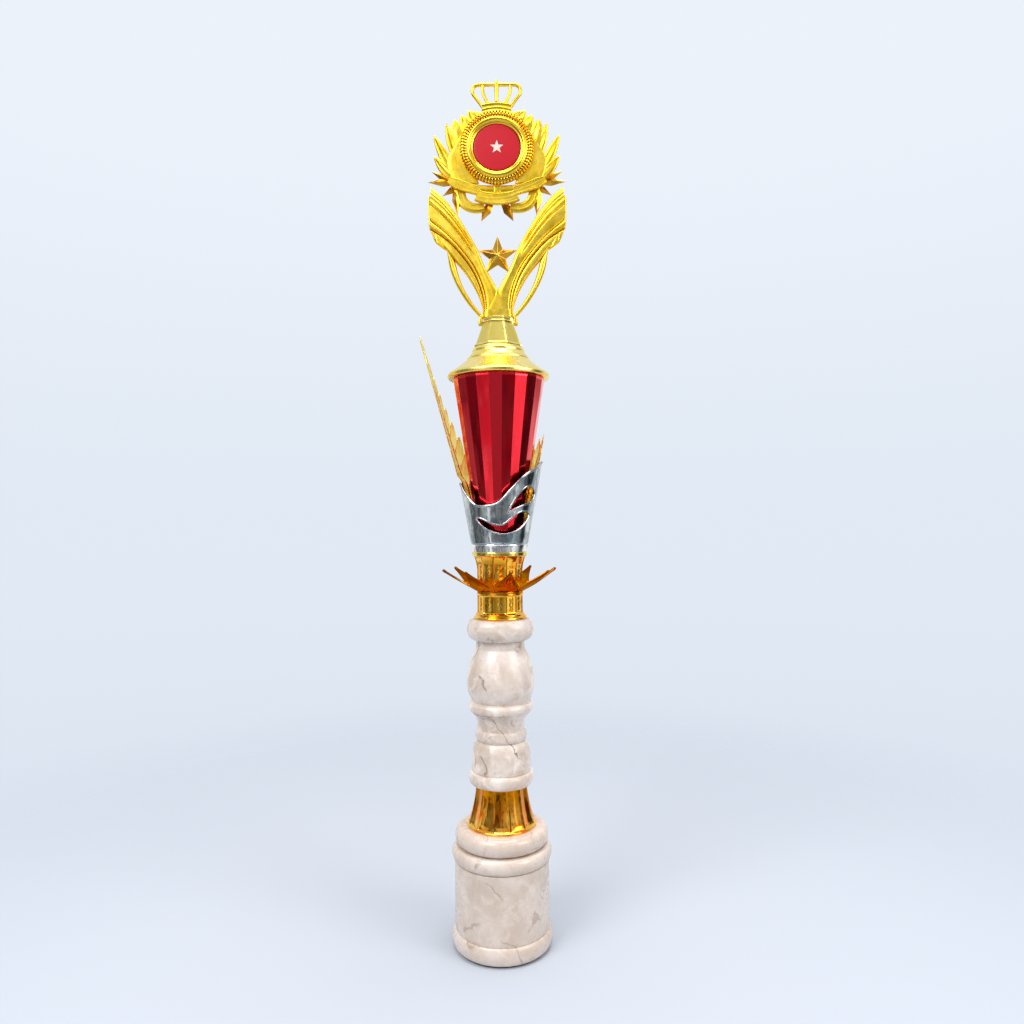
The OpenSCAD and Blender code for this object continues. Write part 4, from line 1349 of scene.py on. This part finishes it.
class TROPHY_OT_medal(bpy.types.Operator):
    """Ribbed bezel, and the red insert with a small plain star in its middle"""

    bl_idname = "trophy.medal"
    bl_label = "Medal"

    def execute(self, context):
        centre = medal_centre()
        teeth = sizes().bezel_teeth
        profile = np.vstack([[[0, 1.7], [18.3, 1.7], [18.4, 3.4]],
                             bezier([18.6, 3.9], [19.0, 4.5], [19.6, 4.6], [20.0, 4.7], 5),
                             bezier([20.2, 5.2], [21.0, 6.6], [22.6, 6.6], [23.6, 5.4], 10),
                             [[24.2, 5.1], [24.9, 5.0]],
                             bezier([25.2, 5.6], [25.8, 6.3], [27.2, 6.3], [28.2, 4.9], 10),
                             [[28.85, 3.6], [28.9, 2.4], [28.5, 1.6], [0, 1.6]]])
        profile = evenly_split(profile, 1.0)

        def ribs(r, f, a):
            zone = step(r, 23.9, 24.6) * (1 - step(r, 28.3, 28.8)) * (f > 2.6)
            return f - 2.2 * zone * step(np.cos(teeth * a), -0.1, 0.75)
        finish = figure_plating("bezel_plating", 0.24, 12, 1.2, 0.9)
        piece("bezel_ribbed", [medallion(profile, centre, teeth * 10, ribs)], finish, "head",
              "medal_bezel", sharp=60)

        r = np.linspace(0, 17.6, 16)
        dome = np.column_stack([r, 4.4 - 0.45 * (r / r[-1]) ** 2])
        disc = np.vstack([dome, [[18.0, 3.8], [18.15, 3.5], [18.15, 3.2], [0, 3.2]]])
        reach, x, z = star_plan(5.4, 2.2, np.linspace(0, 1, 4)[:, None])
        printed = np.stack([x, -4.49 + 0.005 * reach, z], axis=-1)
        star = grid(np.concatenate([printed, (printed + [0, 0.3, 0])[::-1]]) + centre)
        piece("insert_disc", [medallion(disc, centre, 120)],
              [enamel_finish("red_enamel", colours().enamel),
               enamel_finish("pale_print", (0.80, 0.62, 0.56, 1))], "head",
              "medal_insert", sharp=60, second=[star])
        return {"FINISHED"}


class TROPHY_OT_ribbon(bpy.types.Operator):
    """Ribbon: a banner up each side and a scroll across the middle, with rolled edges"""

    bl_idname = "trophy.ribbon"
    bl_label = "Ribbon"

    def execute(self, context):
        centre = medal_centre()
        at = centre[[0, 2]]

        def rolled(s, u):
            return 0.25 * np.exp(-((np.abs(u) - 0.85) / 0.10) ** 2) + 0.04 * np.sin(11 * u + 3 * s)
        banner = bezier([37.4, -25.0], [31.5, -28.8], [23, -31.2], [13.2, -34.4], 30)
        width = np.interp(np.linspace(0, 1, len(banner)), [0, 0.3, 1], [5.0, 8.4, 6.4])
        parts = both([ribbon_band(banner + at, width, 1.7, y=-3.0, columns=25, power=8,
                                  relief=rolled, back=1.2)])
        scroll = bezier([-15.6, -37.4], [-8, -41.3], [8, -41.3], [15.6, -37.4], 44)
        parts.append(ribbon_band(scroll + at, 9.0, 1.5, y=-3.6, columns=25, power=8, relief=rolled,
                                 back=1.4))
        finish = figure_plating("ribbon_plating", 0.34, 7, 1.25, 0.4)
        piece("ribbon_cast", parts, finish, "head", "ribbon", sharp=50)
        return {"FINISHED"}


class TROPHY_OT_crown(bpy.types.Operator):
    """Crown on top of the medal: a curved band, five arms that meet at the top, and a finial"""

    bl_idname = "trophy.crown"
    bl_label = "Crown"

    def execute(self, context):
        centre = medal_centre()
        r_band = 55.2
        a = np.radians(np.linspace(-11.4, 11.4, 40))
        low_r, top_r = 28.6, 36.2
        low = np.column_stack([11.4 * np.sin(a) / np.sin(a[-1]), 0 * a])
        low[:, 1] = np.sqrt(low_r ** 2 - low[:, 0] ** 2)
        high = np.column_stack([low[:, 0], 0 * a])
        high[:, 1] = top_r - r_band + np.sqrt(r_band ** 2 - low[:, 0] ** 2)

        def mouldings(s, u):
            rolls = ((0.5, 0.72, 0.16), (0.4, -0.1, 0.14), (0.4, -0.75, 0.14))
            return sum(rise * np.exp(-((u - mid) / wide) ** 2) for rise, mid, wide in rolls)
        at = centre[[0, 2]]
        parts = [slab(low + at, high + at, 2.5, columns=31, power=8, relief=mouldings)]

        def arm(flat, radius):
            flat = evenly(np.asarray(flat), 40)
            path = np.column_stack([flat[:, 0], 0 * flat[:, 0], flat[:, 1]]) + centre
            return tube(path, radius, [0, 1, 0], 12)

        def ball(x, z, radius, y=0.0):
            t = np.linspace(-1, 1, 9)
            path = np.array([x, y, z]) + centre + np.outer(t * radius * 0.98, [0, 0, 1])
            return tube(path, radius * np.sqrt(np.clip(1 - t ** 2, 0.01, 1)), [0, 1, 0], 14)
        outer = np.vstack([bezier([11.0, 33.2], [12.2, 35.4], [15.6, 39.8], [17.6, 42.4], 10),
                           bezier([18.4, 43.6], [19.4, 46.6], [18.6, 50.6], [13.6, 50.8], 12),
                           [[0, 50.8]]])
        parts += both([arm(outer, 1.3)])
        parts += both([arm(bezier([6.3, 35.4], [9.6, 41], [11.6, 45.6], [10.6, 50.4], 12), 1.2)])
        t = np.linspace(0, 1, 12)
        spine = np.column_stack([0 * t, 34.6 + 16.6 * t])
        parts.append(arm(spine, 1.25 + 0.5 * np.linspace(0, 1, 40)))
        parts += both([ball(x, z, 1.15, -1.0) for x, z in ((10.6, 34.6), (6.2, 36.2))])
        parts.append(ball(0, 37.2, 1.3, -1.0))
        parts += [ball(0, 52.0, 1.45), arm(np.array([[0, 52.4], [0, 55.0]]), 0.65)]
        finish = figure_plating("crown_plating", 0.28, 6, 1.4, 0.5)
        piece("crown_cast", parts, finish, "head", "crown", sharp=60)
        return {"FINISHED"}


# ---------------------------------------------------------------- operator: the stage

class TROPHY_OT_studio(bpy.types.Operator):
    """Pale floor that fades into the backdrop, soft lights, a room to reflect, and the camera"""

    bl_idname = "trophy.studio"
    bl_label = "Studio"

    def execute(self, context):
        self.floor()
        self.surroundings()
        self.lights()
        self.camera()
        context.scene.view_settings.view_transform = "Standard"
        return {"FINISHED"}

    def floor(self):
        """A flat disc whose finish turns transparent towards its rim"""
        paint = Paint("floor")
        mesh = bpy.data.meshes.new("floor")
        points, faces = lathe([[0, 0], [300, 0], [700, 0], [1500, 0]], 96)
        mesh.from_pydata((points * MM).tolist(), [], faces.tolist())
        obj = bpy.data.objects.new("floor", mesh)
        bpy.context.scene.collection.objects.link(obj)
        mesh.materials.append(paint.material)
        paint.set(Base_Color=(0.46, 0.49, 0.54, 1), Roughness=0.9, Specular_IOR_Level=0.1,
                  Alpha=paint.band(paint.reach(), 0.28, 0.85, 1.0, 0.0))

    def surroundings(self):
        """World light: a plain pale backdrop, and for reflections a room of bright and dark bands
        by direction, warped a little, under a bright ceiling"""
        world = bpy.data.worlds.new("studio")
        bpy.context.scene.world = world
        world.use_nodes = True
        sky = Nodes(world.node_tree)
        place = sky.node("ShaderNodeTexCoord").outputs["Generated"]
        x, y, z = sky.node("ShaderNodeSeparateXYZ", {"Vector": place}).outputs
        swirl = sky.node("ShaderNodeTexNoise", {"Vector": place, "Scale": 2.6}).outputs["Fac"]
        turn = sky.math("DIVIDE", sky.math("ARCTAN2", x, sky.math("MULTIPLY", y, -1.0)), 2 * pi)
        turn = sky.math("ADD", turn, 0.5)
        turn = sky.math("ADD", turn, sky.times(sky.math("SUBTRACT", swirl, 0.5), 0.05))
        bands = sky.ramp(turn, (
            (0.0, 1.0), (0.165, 1.0), (0.205, 0.30), (0.31, 0.22), (0.365, 0.6), (0.395, 1.1),
            (0.425, 0.75), (0.48, 0.34), (0.575, 0.20), (0.625, 0.6), (0.665, 1.2), (0.70, 0.65),
            (0.755, 0.05), (0.80, 0.10), (0.835, 1.0), (1.0, 1.0)))
        blot = sky.node("ShaderNodeTexNoise", {"Vector": place, "Scale": 7.0, "Detail": 3.0})
        blotches = sky.ramp(blot.outputs["Fac"],
                            ((0.0, 0.15), (0.40, 0.28), (0.49, 1.0), (1.0, 1.0)))
        level = sky.math("ADD", sky.math("MULTIPLY", z, 0.5), 0.5)
        ceiling = sky.ramp(level, ((0.0, 0.2), (0.30, 0.05), (0.45, 0.0), (0.60, 0.0),
                                   (0.67, 0.60), (0.90, 0.85), (1.0, 0.95)))
        room = sky.mix(ceiling, sky.times(bands, blotches), (0.80, 0.84, 0.92, 1))
        backdrop = sky.ramp(level, ((0.25, (0.70, 0.76, 0.87)), (0.5, (0.76, 0.82, 0.91)),
                                    (0.75, (0.84, 0.89, 0.96))))
        seen = sky.node("ShaderNodeLightPath").outputs["Is Camera Ray"]
        back = sky.tree.nodes["Background"]
        sky.put(back.inputs["Color"], sky.mix(seen, room, backdrop))
        sky.put(back.inputs["Strength"], bpy.context.scene.trophy_studio.light)

    def lights(self):
        """Large soft lights: a key from the upper left, a fill from the right and one overhead"""
        strength = bpy.context.scene.trophy_studio.light
        for name, place, size, power in (("key", (-0.8, -0.9, 1.3), 0.9, 15),
                                         ("fill", (1.1, -0.7, 0.9), 0.8, 8),
                                         ("top", (0.1, -0.1, 1.7), 1.0, 16)):
            data = bpy.data.lights.new(name, "AREA")
            data.shape, data.size, data.energy = "DISK", size, power * strength
            data.color = (1.0, 0.99, 0.97)
            lamp = bpy.data.objects.new(name, data)
            bpy.context.scene.collection.objects.link(lamp)
            lamp.location = place
            aim = Vector((0, 0, 0.35)) - lamp.location
            lamp.rotation_euler = aim.to_track_quat("-Z", "Y").to_euler()
            lamp.visible_camera = False

    def camera(self):
        studio = bpy.context.scene.trophy_studio
        data = bpy.data.cameras.new("camera")
        data.lens, data.sensor_width = studio.lens, 36.0
        data.clip_start = 0.01
        camera = bpy.data.objects.new("camera", data)
        bpy.context.scene.collection.objects.link(camera)
        camera.location = (studio.across, -studio.distance, studio.height)
        camera.rotation_euler = (pi / 2 + studio.tilt, studio.roll, 0)
        bpy.context.scene.camera = camera


# ---------------------------------------------------------------- panel and start

OPERATORS = (TROPHY_OT_studio, TROPHY_OT_felt, TROPHY_OT_stone, TROPHY_OT_fasteners,
             TROPHY_OT_collars, TROPHY_OT_petals, TROPHY_OT_sleeve, TROPHY_OT_cup,
             TROPHY_OT_laurels, TROPHY_OT_lid, TROPHY_OT_wings, TROPHY_OT_star, TROPHY_OT_wreath,
             TROPHY_OT_medal, TROPHY_OT_ribbon, TROPHY_OT_crown)
SETTINGS = (("trophy_sizes", TrophySizes), ("trophy_finishes", TrophyFinishes),
            ("trophy_studio", TrophyStudio))


class TROPHY_PT_sidebar(bpy.types.Panel):
    """Lists the sizes, the colours and one button for each step"""

    bl_idname = "TROPHY_PT_sidebar"
    bl_label = "Column Trophy"
    bl_space_type = "VIEW_3D"
    bl_region_type = "UI"
    bl_category = "Trophy"

    def draw(self, context):
        for name, group in SETTINGS:
            box = self.layout.box()
            for key in group.__annotations__:
                box.prop(getattr(context.scene, name), key)
        for operator in OPERATORS:
            self.layout.operator(operator.bl_idname)


def register():
    for cls in (*(group for _, group in SETTINGS), *OPERATORS, TROPHY_PT_sidebar):
        bpy.utils.register_class(cls)
    for name, group in SETTINGS:
        setattr(bpy.types.Scene, name, PointerProperty(type=group))


def unregister():
    for name, _ in SETTINGS:
        delattr(bpy.types.Scene, name)
    for cls in (TROPHY_PT_sidebar, *OPERATORS, *(group for _, group in SETTINGS)):
        bpy.utils.unregister_class(cls)


def main():
    register()
    for operator in OPERATORS:
        group, name = operator.bl_idname.split(".")
        getattr(getattr(bpy.ops, group), name)()


if __name__ == "__main__":
    main()
